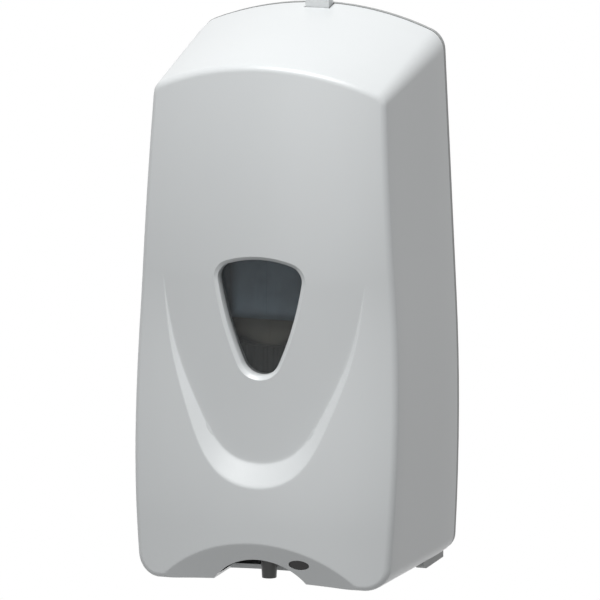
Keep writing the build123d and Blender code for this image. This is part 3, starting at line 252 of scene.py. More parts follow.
def window_outline(grow):
    """Rounded triangle that points down: an arched top and two bowed sides, larger all round by a growth."""
    corner = (CORNER_HALF + 1.10 * grow, CORNER_RISE + 0.58 * grow)
    middle = (BOW_HALF + 0.95 * grow, BOW_RISE - 0.30 * grow)
    tip, crest = (0, TIP_RISE - 1.90 * grow), (0, CREST_RISE + grow)
    tip_r, corner_r = TIP_R + grow, CORNER_R + grow
    lid, lid_r = circle_through((-corner[0], corner[1]), crest, corner)
    side, side_r = circle_through(corner, middle, tip)
    tip_rise = side[1] - math.sqrt((side_r - tip_r) ** 2 - side[0] ** 2)
    bend = meeting(lid, lid_r - corner_r, side, side_r - corner_r, corner)
    tip_end = on_circle(side, side_r, (0, tip_rise))
    bend_low, bend_high = on_circle(side, side_r, bend), on_circle(lid, lid_r, bend)
    n = WINDOW_COUNTS
    half = np.concatenate([
        arc(np.array([0, tip_rise]), (0, tip_rise - tip_r), tip_end, n[0]),
        arc(side, tip_end, bend_low, n[1]),
        arc(bend, bend_low, bend_high, n[2]),
        arc(lid, bend_high, crest, n[3]),
    ])
    return mirrored(half, crest)


print("window width and height, mm:", np.ptp(window_outline(0), axis=0).round(1))

# %% [markdown]
# ## Shape of the front
# The front is one function: how far the surface stands from the wall at each point of the front view.
# The chin swells forward below, a flatter panel sits inside a smile-shaped bevel,
# and a scoop is taken out of the foot.
# Where two of these surfaces cross, a soft minimum or maximum rounds the crease, as a real mould does.

# %% Soft minimum and maximum
def soft_min(a, b, radius):
    """Smaller of two values, with the crossing rounded by a bump that fades over the radius."""
    near = np.clip(radius - np.abs(a - b), 0, None) / radius
    return np.minimum(a, b) - near**2 * radius / 4


def soft_max(a, b, radius):
    """Larger of two values, with the crossing rounded."""
    return -soft_min(-a, -b, radius)


print("soft minimum of 1 and 1 over a radius of 1:", soft_min(1.0, 1.0, 1.0))

# %% Chin and panel
CROWN_R, FACE_REACH = 172.0, 113.0
CHIN_RISE, TIPS_RISE, APEX_RISE = 30.0, 164.0, 296.0
TOP_LEAN, CHIN_SWELL, PANEL_LEAN = 10.5, 7.0, 0.012


def crown(x):
    """How far the crown's circle falls back from its foremost line."""
    return CROWN_R - np.sqrt(CROWN_R**2 - np.clip(x, -100, 100) ** 2)


def chin_reach(x, rise):
    """Crowned face: above the smile it leans back by a square, below it swells by a smooth step."""
    up_share = np.clip((rise - TIPS_RISE) / (APEX_RISE - TIPS_RISE), 0, None)
    low_share = np.clip((TIPS_RISE - rise) / (TIPS_RISE - CHIN_RISE), 0, 1)
    return FACE_REACH - TOP_LEAN * up_share**2 + CHIN_SWELL * low_share**2 * (3 - 2 * low_share) - crown(x)


def panel_reach(x, rise):
    """The flatter panel inside the smile: crowned, and leaning evenly."""
    return FACE_REACH + PANEL_LEAN * (rise - TIPS_RISE) - crown(x)


swell = chin_reach(0, CHIN_RISE) - panel_reach(0, CHIN_RISE)
print("chin ahead of the panel's surface near the foot, mm:", round(float(swell), 2))


# %% Bevel in the shape of a smile
def natural_spline(points, count):
    """Smooth curve through points: cubic pieces whose slopes match, with no bend at the ends."""
    p = np.array(points, float)
    h = np.hypot(*np.diff(p, axis=0).T)
    n = len(p)
    system, right_side = np.eye(n), np.zeros((n, 2))
    for k in range(1, n - 1):
        system[k, k - 1:k + 2] = h[k - 1], 2 * (h[k - 1] + h[k]), h[k]
        right_side[k] = 6 * ((p[k + 1] - p[k]) / h[k] - (p[k] - p[k - 1]) / h[k - 1])
    bend = np.linalg.solve(system, right_side)
    piece = np.minimum(np.arange(count) * (n - 1) // count, n - 2)
    share = np.arange(count) * (n - 1) / count - piece
    h_k = h[piece][:, None]
    a, b = (1 - share)[:, None], share[:, None]
    curve = a * p[piece] + b * p[piece + 1]
    return curve + h_k**2 / 6 * ((a**3 - a) * bend[piece] + (b**3 - b) * bend[piece + 1])


FOCUS_REACH, FOCUS_RISE, FAR_PLANE = 75.0, 122.0, 137.0
SMILE_HALF, SMILE_FOOT, SMILE_DEPTH = 56.5, 53.2, 110.8
SMILE_SHARES = ((1.0, 1.0), (0.885, 0.63), (0.68, 0.32), (0.38, 0.065), (0.0, 0.0))
smile_points = []
for share_x, share_rise in SMILE_SHARES:
    smile_x, smile_rise = SMILE_HALF * share_x, SMILE_FOOT + SMILE_DEPTH * share_rise
    stretch = (FAR_PLANE - FOCUS_REACH) / (float(chin_reach(smile_x, smile_rise)) - FOCUS_REACH)
    smile_points.append((smile_x * stretch, (smile_rise - FOCUS_RISE) * stretch))
smile_loop = natural_spline([(-x, z) for x, z in smile_points] + smile_points[::-1][1:], 1200)
smile_angle = np.arctan2(smile_loop[:, 0], -smile_loop[:, 1])
smile_order = np.argsort(smile_angle)
smile_angle = smile_angle[smile_order]
smile_far = np.hypot(smile_loop[:, 0], smile_loop[:, 1])[smile_order]


def bevel_reach(x, rise):
    """Cone from a focus behind the front through the smile: reach grows with the way from the focus line."""
    edge = np.interp(np.arctan2(x, FOCUS_RISE - rise), smile_angle, smile_far)
    return FOCUS_REACH + (FAR_PLANE - FOCUS_REACH) * np.hypot(x, rise - FOCUS_RISE) / edge


print("points of the smile on the far plane:", len(smile_loop))

# %% Scoop and the whole front
SCOOP_RISE, SCOOP_R, SCOOP_REACH, SCOOP_DROP = 23.0, 77.3, 100.6, 20.0
INNER_ROUND, OUTER_ROUND, TIPS_FADE = 0.55, 0.5, 25.0


def scoop_reach(x, rise):
    """Cone from a focus below the foot through a circle on the chin.

    Along each ray from the focus the reach grows evenly, up to the chin's own reach at the rim.
    """
    up = rise + SCOOP_DROP
    away = np.hypot(x, up)
    middle = SCOOP_R - SCOOP_RISE - SCOOP_DROP
    climb = up / away * middle
    rim = np.sqrt(climb**2 + SCOOP_R**2 - middle**2) - climb
    rim_reach = chin_reach(x / away * rim, up / away * rim - SCOOP_DROP)
    return SCOOP_REACH + (rim_reach - SCOOP_REACH) * away / rim


def front_reach(x, rise):
    """The front without its scoop: panel or bevel, whichever is further out, but never ahead of the chin."""
    chin = chin_reach(x, rise)
    inside = soft_max(panel_reach(x, rise), bevel_reach(x, rise), INNER_ROUND)
    rounding = OUTER_ROUND * np.clip((TIPS_RISE - rise) / TIPS_FADE, 0.01, 1)
    return np.where(rise > TIPS_RISE, chin, soft_min(chin, inside, rounding))


heights = np.array([20.0, 60.0, 100.0, 200.0])
print("reach on the middle line at", heights, "mm:", front_reach(0 * heights, heights).round(2))

# %% [markdown]
# ## The housing as one closed surface
# The wall of the housing is a loop in section: out over the front, round the edge, back along the side,
# in at the rear, forward again inside, and back through the window's skirt.
# Running that loop round the whole outline gives a ring.
# So one grid makes the complete shell, with nothing left open.
# Where the side meets the front isn't known in advance, because the side narrows with the reach.
# So the edge starts from a guess, and a few rounds move it to the front's own reach there.

# %% Lines that the rows of the grid follow
MIDDLE_RISE, WINDOW_RISE = 150.0, 142.0


def side_line(reach, ends):
    """Outline at a reach, on straight lines from the rear outline to the nose outline."""
    rear, nose = ends
    share = (np.asarray(reach) - REAR) / (NOSE - REAR)
    share = share[:, None] if np.ndim(reach) else share
    return rear + (nose - rear) * share


def inward_normals(line):
    """Unit vectors square to a closed line, pointing to its inside."""
    along = np.roll(line, -1, axis=0) - np.roll(line, 1, axis=0)
    along /= np.hypot(*along.T)[:, None]
    return np.stack([-along[:, 1], along[:, 0]], axis=1)


def matched_window(grow, line):
    """Window outline at the same directions from the window's middle as the points of another line."""
    window = window_outline(grow)
    angle = np.unwrap(np.arctan2(window[:, 1] - WINDOW_RISE, window[:, 0]))
    far = np.hypot(window[:, 0], window[:, 1] - WINDOW_RISE)
    wanted = np.arctan2(line[:, 1] - WINDOW_RISE, line[:, 0])
    r = np.interp(wanted, angle, far, period=2 * math.pi)
    return np.stack([r * np.cos(wanted), WINDOW_RISE + r * np.sin(wanted)], axis=1)


def space_points(line, reach):
    """Points in the row's frame, in millimetres, from a front view and a reach."""
    return np.stack([line[:, 0], -np.broadcast_to(reach, len(line)), line[:, 1] - MIDDLE_RISE], axis=1)


EDGE_R, FIRST_GUESS, GUESS_ROUNDS = 3.0, 110.0, 6
edge_reach = np.full(len(outer_ends[0]), FIRST_GUESS)
for _ in range(GUESS_ROUNDS):
    edge_line = side_line(edge_reach, outer_ends)
    edge_reach = front_reach(edge_line[:, 0], edge_line[:, 1])
corner = space_points(edge_line, edge_reach)
face_line = edge_line + inward_normals(edge_line) * EDGE_R
face_start = space_points(face_line, front_reach(face_line[:, 0], face_line[:, 1]))
side_start = space_points(side_line(edge_reach - EDGE_R, outer_ends), edge_reach - EDGE_R)
print("reach of the front's edge, mm:", edge_reach.min().round(1), "to", edge_reach.max().round(1))

# %% [markdown]
# Creases look ragged where they run across a grid, so its rows are moved on to the smile and the scoop's rim.
# Each column of the grid is a straight line from the window's lip to the edge of the front.
# The share of that line at which one surface passes another is where a row has to lie.

# %% Where the creases cross the columns
LIP_GROW, EASED = 2.1, 30
lip = matched_window(LIP_GROW, face_line)
COLUMNS = np.arange(len(face_line))
ray_shares = np.linspace(0, 1, 600)[:, None]
ray_x = lip[:, 0] + (face_line[:, 0] - lip[:, 0]) * ray_shares
ray_rise = lip[:, 1] + (face_line[:, 1] - lip[:, 1]) * ray_shares


def crossing(above, below, usual):
    """Share of each line from the lip to the edge at which one surface passes another.

    Lines without a crossing take the usual share, and those close to one that has it ease between both.
    """
    gap = above - below
    change = (gap[:-1] < 0) & (gap[1:] >= 0)
    found, k = change.any(axis=0), change.argmax(axis=0)
    low, high = gap[k, COLUMNS], gap[k + 1, COLUMNS]
    share = np.where(found, (k + low / (low - high + 1e-12)) / (len(gap) - 1), np.nan)
    near = np.any([np.roll(found, shift) for shift in range(-EASED, EASED + 1)], axis=0)
    share[~near] = usual
    known = ~np.isnan(share)
    return np.interp(COLUMNS, COLUMNS[known], share[known], period=len(COLUMNS))


ray_bevel = np.where(ray_rise < TIPS_RISE, bevel_reach(ray_x, ray_rise), -1.0)
inner_crease = crossing(ray_bevel, panel_reach(ray_x, ray_rise), 0.30)
outer_crease = crossing(ray_bevel, chin_reach(ray_x, ray_rise), 0.45)
scoop_crease = crossing(front_reach(ray_x, ray_rise), scoop_reach(ray_x, ray_rise), 0.85)
scoop_crease = np.clip(scoop_crease, outer_crease + 0.1, 0.985)
outer_crease = np.minimum(outer_crease, scoop_crease - 0.1)
inner_crease = np.minimum(inner_crease, outer_crease - 0.03)
print("columns:", len(COLUMNS), "inner crease at shares up to", round(float(inner_crease.max()), 2))

# %% Rows of the outside
REAR_EDGE, SCOOP_ROUND = 4.1, 0.3
marks = [np.zeros(len(lip)), inner_crease, outer_crease, scoop_crease, np.ones(len(lip))]
ROW_COUNTS = (20, 14, 34, 23)
outer_rows = []
for start, end, count in zip(marks[:-1], marks[1:], ROW_COUNTS):
    for step in range(count):
        share = start + (end - start) * (1 - math.cos(math.pi * step / count)) / 2
        line = lip + (face_line - lip) * share[:, None]
        outer_rows.append(space_points(line, front_reach(line[:, 0], line[:, 1])))
for angle in np.linspace(0, math.pi / 2, 9):
    to_face, to_side = 1 - math.sin(angle), 1 - math.cos(angle)
    outer_rows.append(corner + (face_start - corner) * to_face + (side_start - corner) * to_side)
for share in np.linspace(0, 1, 9)[1:-1]:
    reach = (edge_reach - EDGE_R) * (1 - share) + REAR_EDGE * share
    outer_rows.append(space_points(side_line(reach, outer_ends), reach))
outer = np.array(outer_rows)
outer_scoop = scoop_reach(outer[..., 0], outer[..., 2] + MIDDLE_RISE)
outer[..., 1] = -soft_min(-outer[..., 1], outer_scoop, SCOOP_ROUND)
print("rows of the outside:", len(outer))

# %% Rows of the inside and the window's skirt
WALL, REAR_ROUND, LIP_DROP = 2.5, 0.5, 0.25
SKIRT_GROW, BEVEL_GROW = 1.8, 0.15
inner_ends = housing_outline(REAR, WALL), housing_outline(NOSE, WALL)


def inner_front(line):
    """The front's surface moved back by the wall, scoop included."""
    x, rise = line[:, 0], line[:, 1]
    return soft_min(front_reach(x, rise), scoop_reach(x, rise), SCOOP_ROUND) - WALL


inner_edge_reach = edge_reach - WALL
for _ in range(GUESS_ROUNDS):
    inner_edge = side_line(inner_edge_reach, inner_ends)
    inner_edge_reach = inner_front(inner_edge)
rear_edge = side_line(REAR, outer_ends)
inner_rows = [
    space_points(rear_edge + inward_normals(rear_edge) * REAR_ROUND, REAR),
    space_points(side_line(REAR, inner_ends), REAR + 0.1),
]
for share in np.linspace(0, 1, 5)[1:]:
    reach = REAR + (inner_edge_reach - REAR) * share
    inner_rows.append(space_points(side_line(reach, inner_ends), reach))
skirt_out, skirt_in = matched_window(SKIRT_GROW, face_line), matched_window(0, face_line)
for share in np.linspace(0, 1, 9)[1:]:
    line = inner_edge + (skirt_out - inner_edge) * share
    inner_rows.append(space_points(line, inner_front(line)))
lip_reach = front_reach(skirt_out[:, 0], skirt_out[:, 1]) - LIP_DROP
skirt_rows = (
    (skirt_out, 102.0),
    (skirt_in, 101.6),
    (skirt_in, 106.0),
    (skirt_in, 110.2),
    (matched_window(BEVEL_GROW, face_line), 110.5),
    (skirt_out, lip_reach),
)
inner_rows += [space_points(line, reach) for line, reach in skirt_rows]
shell = np.concatenate([outer, np.array(inner_rows)])
cover = mesh_from_grid("cover_shell_skin", shell, close_rows=True, close_columns=True)
print("housing grid:", shell.shape[:2], "faces:", len(cover.data.polygons))

# %% [markdown]
# ## Openings of the housing
# The hand notch, the sensor's hole, the room round the hinge and the latch's slot go through the wall.
# Each one is cut with a closed block, as a milling cutter would, by the Boolean modifier's exact solver.
# Only the finished mesh is kept, so that the piece carries no modifier.

# %% Blocks to cut with
CLOSED = 1e-4


def prism(name, line, reach_start, reach_end):
    """Closed block with the front view given by a line, between two reaches."""
    middle = line.mean(axis=0)
    ends = ((CLOSED, reach_start), (1, reach_start), (1, reach_end), (CLOSED, reach_end))
    rings = [space_points(middle + (line - middle) * share, reach) for share, reach in ends]
    return mesh_from_grid(name, np.array(rings), close_columns=True)


def ellipse(x, rise, half_width, half_height, count=160):
    """Points round an ellipse in the front view."""
    a = np.arange(count) / count * 2 * math.pi
    return np.stack([x + half_width * np.cos(a), rise + half_height * np.sin(a)], axis=1)


def rectangle(x_low, x_high, low, high):
    """Four corners in the front view."""
    return np.array([(x_low, low), (x_high, low), (x_high, high), (x_low, high)], float)


def cut(piece, cutters):
    """Take closed cutters away from a closed piece, one after another, and drop them."""
    for cutter in cutters:
        step = piece.modifiers.new("cut", "BOOLEAN")
        step.operation = "DIFFERENCE"
        step.solver = "EXACT"
        step.object = cutter
        done = bpy.data.meshes.new_from_object(piece.evaluated_get(bpy.context.evaluated_depsgraph_get()))
        piece.modifiers.clear()
        piece.data = done
        bpy.data.objects.remove(cutter)
    piece.data.shade_smooth()
    piece.data.set_sharp_from_angle(angle=SHARP)


BELOW = -12
FLOOR_TOP, EAR_TOP = 4.5, 16
cutters = [
    prism("cut_notch", ellipse(0, -18.3, 32.1, 32.1, 240), 83, 140),
    prism("cut_sensor", ellipse(23.1, 12.2, 5.75, 2.75), 100, 140),
    prism("cut_floor", rectangle(-55.4, 55.4, BELOW, FLOOR_TOP), BELOW, 38),
    prism("cut_boss_left", rectangle(-63.2, -54.2, BELOW, FLOOR_TOP), BELOW, 23),
    prism("cut_boss_right", rectangle(54.2, 63.2, BELOW, FLOOR_TOP), BELOW, 23),
    prism("cut_ear_left", rectangle(-68.5, -62, BELOW, EAR_TOP), BELOW, 38),
    prism("cut_ear_right", rectangle(62, 68.5, BELOW, EAR_TOP), BELOW, 38),
    prism("cut_latch", rectangle(-7.1, 7.1, 270, 320), BELOW, 12.6),
]
cut(cover, cutters)
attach(cover, "cover")
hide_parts("cover_shell")
print("housing after the cuts:", len(cover.data.polygons), "faces")

# %% [markdown]
# ## Hinge bosses and the latch's rib
# Inside the housing, two bosses hold the hinge pins, and a rib at the top is what the latch hooks behind.
# Each is a profile of reach and rise carried along X, slightly smaller at both ends for a moulded round.


# %% Bosses of the hinge and the rib for the latch's hook
PIN_REACH, PIN_RISE, BOSS_R, BOSS_FOOT = 30, 3, 6, -1.0
BOSS_IN, BOSS_OUT, END_ROUND = 55.4, 62.0, 0.4
END_SHARE = 1 - END_ROUND / BOSS_R


def bar(name, profile, start, end):
    """Closed bar along X with a profile of (reach, rise) points, and a small round at both ends."""
    middle = profile.mean(axis=0)
    ends = ((start, CLOSED), (start, END_SHARE), (start + END_ROUND, 1.0))
    ends += ((end - END_ROUND, 1.0), (end, END_SHARE), (end, CLOSED))
    rings = []
    for x, share in ends:
        line = middle + (profile - middle) * share
        rings.append(np.stack([np.full(len(line), float(x)), -line[:, 0], line[:, 1] - MIDDLE_RISE], axis=1))
    return mesh_from_grid(name, np.array(rings), close_columns=True)


around = np.linspace(0, 2 * math.pi, 64, endpoint=False)
boss_rise = np.maximum(PIN_RISE + BOSS_R * np.sin(around), BOSS_FOOT)
boss_profile = np.stack([PIN_REACH + BOSS_R * np.cos(around), boss_rise], axis=1)
catch_profile = rectangle(13.1, 15.6, 279, 289.2)
inner_works = [
    bar("hinge_boss_left", boss_profile, -BOSS_OUT, -BOSS_IN),
    bar("hinge_boss_right", boss_profile, BOSS_IN, BOSS_OUT),
    bar("latch_rib", catch_profile, -5.5, 5.5),
]
for piece in inner_works:
    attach(piece, "cover")
print("pieces inside the housing:", [piece.name for piece in inner_works])

# %% [markdown]
# ## A small language for shaders
# A material is a net of nodes, and wiring each one by hand hides what it does.
# One class wraps a socket so that sums and products of masks can be written as plain expressions.
# One method adds every other kind of node: its settings first, then the values or wires of its sockets.

# %% Shader helpers
def paint(red, green, blue):
    """Linear colour of a value from 0 to 255 as a screen shows it: the standard curve undone."""
    c = np.array([red, green, blue]) / 255
    linear = np.where(c <= 0.04045, c / 12.92, ((c + 0.055) / 1.055) ** 2.4)
    return (*linear.tolist(), 1.0)


class Wire:
    """Output of a node that can take part in sums. Each operator adds one Math node."""

    def __init__(self, net, socket):
        self.net, self.socket = net, socket

    def maths(self, operation, *values):
        return self.net.node("ShaderNodeMath", {"operation": operation}, dict(enumerate(values)))

    def __add__(self, other):
        return self.maths("ADD", self, other)

    def __sub__(self, other):
        return self.maths("SUBTRACT", self, other)

    def __mul__(self, other):
        return self.maths("MULTIPLY", self, other)

    def __truediv__(self, other):
        return self.maths("DIVIDE", self, other)

    def __radd__(self, other):
        return self.maths("ADD", other, self)

    def __rsub__(self, other):
        return self.maths("SUBTRACT", other, self)

    def __rmul__(self, other):
        return self.maths("MULTIPLY", other, self)

    def __gt__(self, other):
        return self.maths("GREATER_THAN", self, other)

    def fraction(self):
        return self.maths("FRACT", self)

    def size(self):
        return self.maths("ABSOLUTE", self)

    def root(self):
        return self.maths("SQRT", self)

    def top(self, other):
        return self.maths("MAXIMUM", self, other)

    def step(self, start, end):
        """0 before the start and 1 after the end, with a smooth rise between them."""
        settings = {"interpolation_type": "SMOOTHSTEP"}
        return self.net.node("ShaderNodeMapRange", settings, {0: self, 1: start, 2: end})


class Net:
    """Node tree of a material or of the world."""

    def __init__(self, owner):
        owner.use_nodes = True
        self.tree = owner.node_tree

    def node(self, kind, settings, values, output=0):
        """Add a node: settings first, then values or wires for its sockets. Gives the wire of an output."""
        node = self.tree.nodes.new(kind)
        for key, value in settings.items():
            setattr(node, key, value)
        self.fill(node, values)
        return Wire(self, node.outputs[output]) if node.outputs else None

    def fill(self, node, values):
        """Give a node's sockets their values or wires."""
        for key, value in values.items():
            if isinstance(value, Wire):
                self.tree.links.new(value.socket, node.inputs[key])
            else:
                node.inputs[key].default_value = value


print("a screen's mid grey as linear light:", round(paint(128, 128, 128)[0], 3))

# %% [markdown]
# ## Light
# A white product on a white page needs light that is soft and uneven.
# It is bright on top, even in front and darker on the sides.
# A large softbox overhead and a weaker one in front do that.
# A plain world and a pale floor lift the rest.
# The camera and the reflections see white paper all round, while the world's own light stays plain.


# %% World, softboxes and floor
def white_for_the_eye(owner, plain, level=1.0):
    """Lights with a plain colour at a level, and shows white to the camera and to reflections."""
    net = Net(owner)
    net.tree.nodes.clear()
    rays = ("Is Camera Ray", "Is Glossy Ray", "Is Transmission Ray")
    eye_ray, gloss_ray, glass_ray = (net.node("ShaderNodeLightPath", {}, {}, ray) for ray in rays)
    if owner.id_type == "WORLD":
        glow, out = "ShaderNodeBackground", "ShaderNodeOutputWorld"
        base = net.node(glow, {}, {"Color": plain, "Strength": level})
    else:
        glow, out = "ShaderNodeEmission", "ShaderNodeOutputMaterial"
        base = net.node("ShaderNodeBsdfDiffuse", {}, {"Color": plain})
    white = net.node(glow, {}, {"Color": (1, 1, 1, 1), "Strength": 1.0})
    seen = eye_ray.top(gloss_ray).top(glass_ray)
    net.node(out, {}, {"Surface": net.node("ShaderNodeMixShader", {}, {0: seen, 1: base, 2: white})})


def softbox(name, place, target, side, power):
    """Square area lamp of a side in metres, at a place and turned towards a target."""
    data = bpy.data.lights.new(name, "AREA")
    data.size, data.energy = side, power
    lamp = link(name, data)
    lamp.location = place
    lamp.rotation_euler = (Vector(place) - Vector(target)).to_track_quat("Z", "Y").to_euler()
    return lamp


world = bpy.data.worlds.new("pale_room")
bpy.context.scene.world = world
white_for_the_eye(world, (1, 1, 1, 1), 0.23)
lamp_target = (0, -0.05, 0)
lamps = [
    softbox("overhead_box", (0.03, -0.76, 1.90), lamp_target, 1.2, 48),
    softbox("front_box", (0.25, -2.40, 0.30), lamp_target, 1.5, 8),
]

FLOOR_HALF, FLOOR_DROP = 20000, 750.0
floor_ends = (-FLOOR_HALF, FLOOR_HALF)
floor = mesh_from_grid("floor", np.array([[(x, y, -FLOOR_DROP) for x in floor_ends] for y in floor_ends]))
paper = bpy.data.materials.new("paper_floor")
white_for_the_eye(paper, (0.45, 0.45, 0.45, 1))
floor.data.materials.append(paper)
print("lamps:", [lamp.name for lamp in lamps], "floor:", [round(v, 1) for v in floor.dimensions])

# %% [markdown]
# ## Moulded plastic
# Nearly every piece is injection moulded: its surface copies the fine spark grain of the steel mould,
# and the flow of the melt leaves faint clouds in colour and gloss.
# The grain is a bump, because it is far too small for geometry.
# The clouds change colour and roughness by a few percent.


# %% Finish class and the housing's plastic
class Finish(Net):
    """Material with a Principled shader and the few patterns that the finishes share. Sizes are in mm."""

    def __init__(self, name):
        self.material = bpy.data.materials.new(name)
        super().__init__(self.material)
        self.shader = next(n for n in self.tree.nodes if n.type == "BSDF_PRINCIPLED")
        self.place = self.node("ShaderNodeTexCoord", {}, {}, "Object")

    def stretched(self, x, y, z):
        """Object coordinates times a factor on each axis."""
        return self.node("ShaderNodeVectorMath", {"operation": "MULTIPLY"}, {0: self.place, 1: (x, y, z)})

    def axis(self, name):
        """One coordinate in millimetres."""
        return self.node("ShaderNodeSeparateXYZ", {}, {0: self.place}, name) * MM

    def noise(self, size, detail=2.0, rough=0.5, place=None):
        """Cloudy pattern from 0 to 1 whose features are about the given size."""
        values = {"Vector": place or self.place, "Scale": MM / size, "Detail": detail, "Roughness": rough}
        return self.node("ShaderNodeTexNoise", {}, values)

    def cells(self, size, output="Distance", **settings):
        """Scattered cells about the given size: the way to their middles, or a colour for each."""
        values = {"Vector": self.place, "Scale": MM / size}
        return self.node("ShaderNodeTexVoronoi", settings, values, output)

    def blend(self, factor, first, second):
        """Colour between two colours."""
        return self.node("ShaderNodeMix", {"data_type": "RGBA"}, {0: factor, 6: first, 7: second}, 2)

    def bump(self, height, depth):
        """Normal of a surface that rises by the height's pattern, depth being a full step in millimetres."""
        return self.node("ShaderNodeBump", {}, {"Height": height, "Distance": depth / MM})

    def set(self, **values):
        """Set the Principled shader's sockets, written with _ for a space."""
        self.fill(self.shader, {key.replace("_", " "): value for key, value in values.items()})
        return self.material


def darker(colour, share):
    """Colour with its light cut by a share."""
    return tuple(c * (1 - share) for c in colour[:3]) + (1.0,)


def moulded(name, colour, rough, grain, depth, tone, cloud, **plain):
    """Moulded plastic: clouds of two sizes vary its colour, and its gloss follows them and the grain."""
    f = Finish(name)
    clouds = f.noise(cloud, 3.0)
    streaks = f.noise(6.0, 2.0, place=f.stretched(1.0, 1.0, 0.22))
    fine = f.noise(grain, 2.0, 0.6)
    tint = f.blend(clouds.step(0.25, 0.75) * 0.7 + streaks * 0.3, darker(colour, 2 * tone), colour)
    gloss = rough - 0.03 + clouds * 0.05 + streaks * 0.03 + (fine - 0.5) * 0.06
    return f.set(Base_Color=tint, Roughness=gloss, Normal=f.bump(fine, depth), **plain)


housing = moulded("moulded_housing", paint(207, 210, 211), 0.30, 0.6, 0.003, 0.012, 60.0, IOR=1.5)
FINISHES = {"housing_plastic": housing}
for piece in (cover, *inner_works):
    piece.data.materials.clear()
    piece.data.materials.append(housing)
print("housing nodes:", len(housing.node_tree.nodes))

# %% [markdown]
# ## The other plastics
# Inside, the maker saves money and helps the service person: the chassis and gear case are dark and matt,
# the moving pump pieces are natural polypropylene,
# and the gears are white acetal with a film of grease near the teeth.
# All but the gears are the same moulded plastic with other colours, grains and gloss.

# %% Plastics inside and behind the housing
# Each row: slot, name, colour, roughness, grain size, grain depth, change of tone and cloud size
PLASTICS = (
    ("plate_plastic", "moulded_back_plate", (150, 152, 152), 0.45, 0.8, 0.012, 0.03, 45.0),
    ("latch_plastic", "moulded_latch", (205, 208, 209), 0.28, 0.4, 0.004, 0.02, 12.0),
    ("chassis_plastic", "moulded_chassis", (74, 78, 81), 0.50, 0.7, 0.014, 0.05, 30.0),
    ("case_plastic", "moulded_case", (54, 57, 60), 0.42, 0.5, 0.010, 0.06, 20.0),
    ("carriage_plastic", "moulded_carriage", (66, 69, 71), 0.36, 0.5, 0.008, 0.05, 14.0),
    ("spout_plastic", "moulded_spout", (62, 63, 62), 0.30, 0.4, 0.006, 0.08, 9.0),
    ("collar_plastic", "moulded_collar", (78, 80, 78), 0.40, 0.5, 0.006, 0.04, 12.0),
    ("piston_plastic", "moulded_piston", (214, 218, 216), 0.30, 0.4, 0.004, 0.03, 10.0),
    ("pump_plastic", "moulded_pump", (196, 203, 206), 0.25, 0.5, 0.004, 0.05, 11.0),
)
for slot, name, colour, *look in PLASTICS:
    FINISHES[slot] = moulded(name, paint(*colour), *look)
print("plastics so far:", sorted(FINISHES))


# %% Greased gears
def greased_gear(name):
    """Acetal: off-white, with a warm film of grease that gathers in patches and makes it glossier there."""
    f = Finish(name)
    patches = f.noise(4.0, 3.0, 0.55)
    film = patches.step(0.48, 0.62)
    fine = f.noise(0.3, 2.0)
    return f.set(
        Base_Color=f.blend(film, paint(226, 224, 214), paint(203, 194, 160)),
        Roughness=0.42 - film * 0.25 + (fine - 0.5) * 0.05,
        Normal=f.bump(fine * 0.4 + patches * 0.6, 0.02),
    )


FINISHES["gear_plastic"] = greased_gear("greased_acetal")
print("gear finish nodes:", len(FINISHES["gear_plastic"].node_tree.nodes))

# %% [markdown]
# ## See-through plastics
# The window is smoked and clear, so that the soap can be checked but the works stay in the dark.
# Its alpha lets part of the inside through, and its gloss catches the light over it.
# The hand sensor's lens looks black, because its plastic passes only infrared light.


# %% Window, sensor lens and light-emitting diodes
def smoked_window(name):
    """Smoked clear plastic: dust and fine wiping scratches make it duller and less see-through in places."""
    f = Finish(name)
    haze = f.noise(14.0, 3.0).step(0.35, 0.75)
    scratches = f.noise(0.5, 2.0, 0.6, f.stretched(1.0, 1.0, 0.06)).step(0.60, 0.68)
    return f.set(
        Base_Color=f.blend(haze, paint(24, 27, 28), paint(40, 44, 45)),
        Roughness=0.05 + haze * 0.05 + scratches * 0.10,
        Alpha=0.36 + haze * 0.06 + scratches * 0.04,
        Normal=f.bump(scratches, 0.004),
        IOR=1.55,
    )


def dark_filter(name, colour, rough):
    """Dense glossy resin with faint swirls from moulding."""
    f = Finish(name)
    swirl = f.noise(3.0, 3.0, place=f.stretched(1.0, 1.0, 2.5))
    fine = f.noise(0.4)
    return f.set(
        Base_Color=f.blend(swirl, darker(colour, 0.3), colour),
        Roughness=rough + swirl * 0.06 + fine * 0.02,
        Normal=f.bump(fine, 0.003),
    )


FINISHES["window_clear"] = smoked_window("smoked_window")
FINISHES["sensor_dark"] = dark_filter("infrared_filter", paint(22, 18, 19), 0.16)
FINISHES["led_resin"] = dark_filter("diode_resin", paint(60, 66, 92), 0.06)
print("see-through finishes ready")

# %% [markdown]
# ## The refill
# The bottle is blown from milky polyethylene, so the soap's blue-grey shows through its walls.
# Below a height, a warmer, darker band is painted shade, standing in for the shadow at the bottle's rounded
# base.
# One material splits along the height, and a seam runs down the middle, where the two mould halves met.


# %% Refill bottle with its soap
def filled_bottle(name, base):
    """Blue-grey above a height in millimetres and a warm painted shade below it, with a seam, a peel and soft
    ripples.
    """
    f = Finish(name)
    ripples = f.noise(16.0, 2.0)
    above_shade = (f.axis("Z") + ripples).step(base - 0.2, base + 1.2)
    soap = f.blend(ripples, paint(158, 184, 202), paint(176, 198, 212))
    # Painted shade: a warm, darker band below the height stands in for the shadow at the bottle's rounded
    # base.
    painted_shade = f.blend(ripples, paint(128, 127, 116), paint(140, 138, 126))
    seam = 1 - f.axis("X").size().step(0.15, 0.45)
    peel = f.noise(2.4, 2.0)
    return f.set(
        Base_Color=f.blend(above_shade, painted_shade, soap),
        Roughness=0.34 + peel * 0.08 - above_shade * 0.04,
        Normal=f.bump(seam * 0.5 + peel * 0.25 + f.noise(0.5) * 0.05, 0.25),
    )


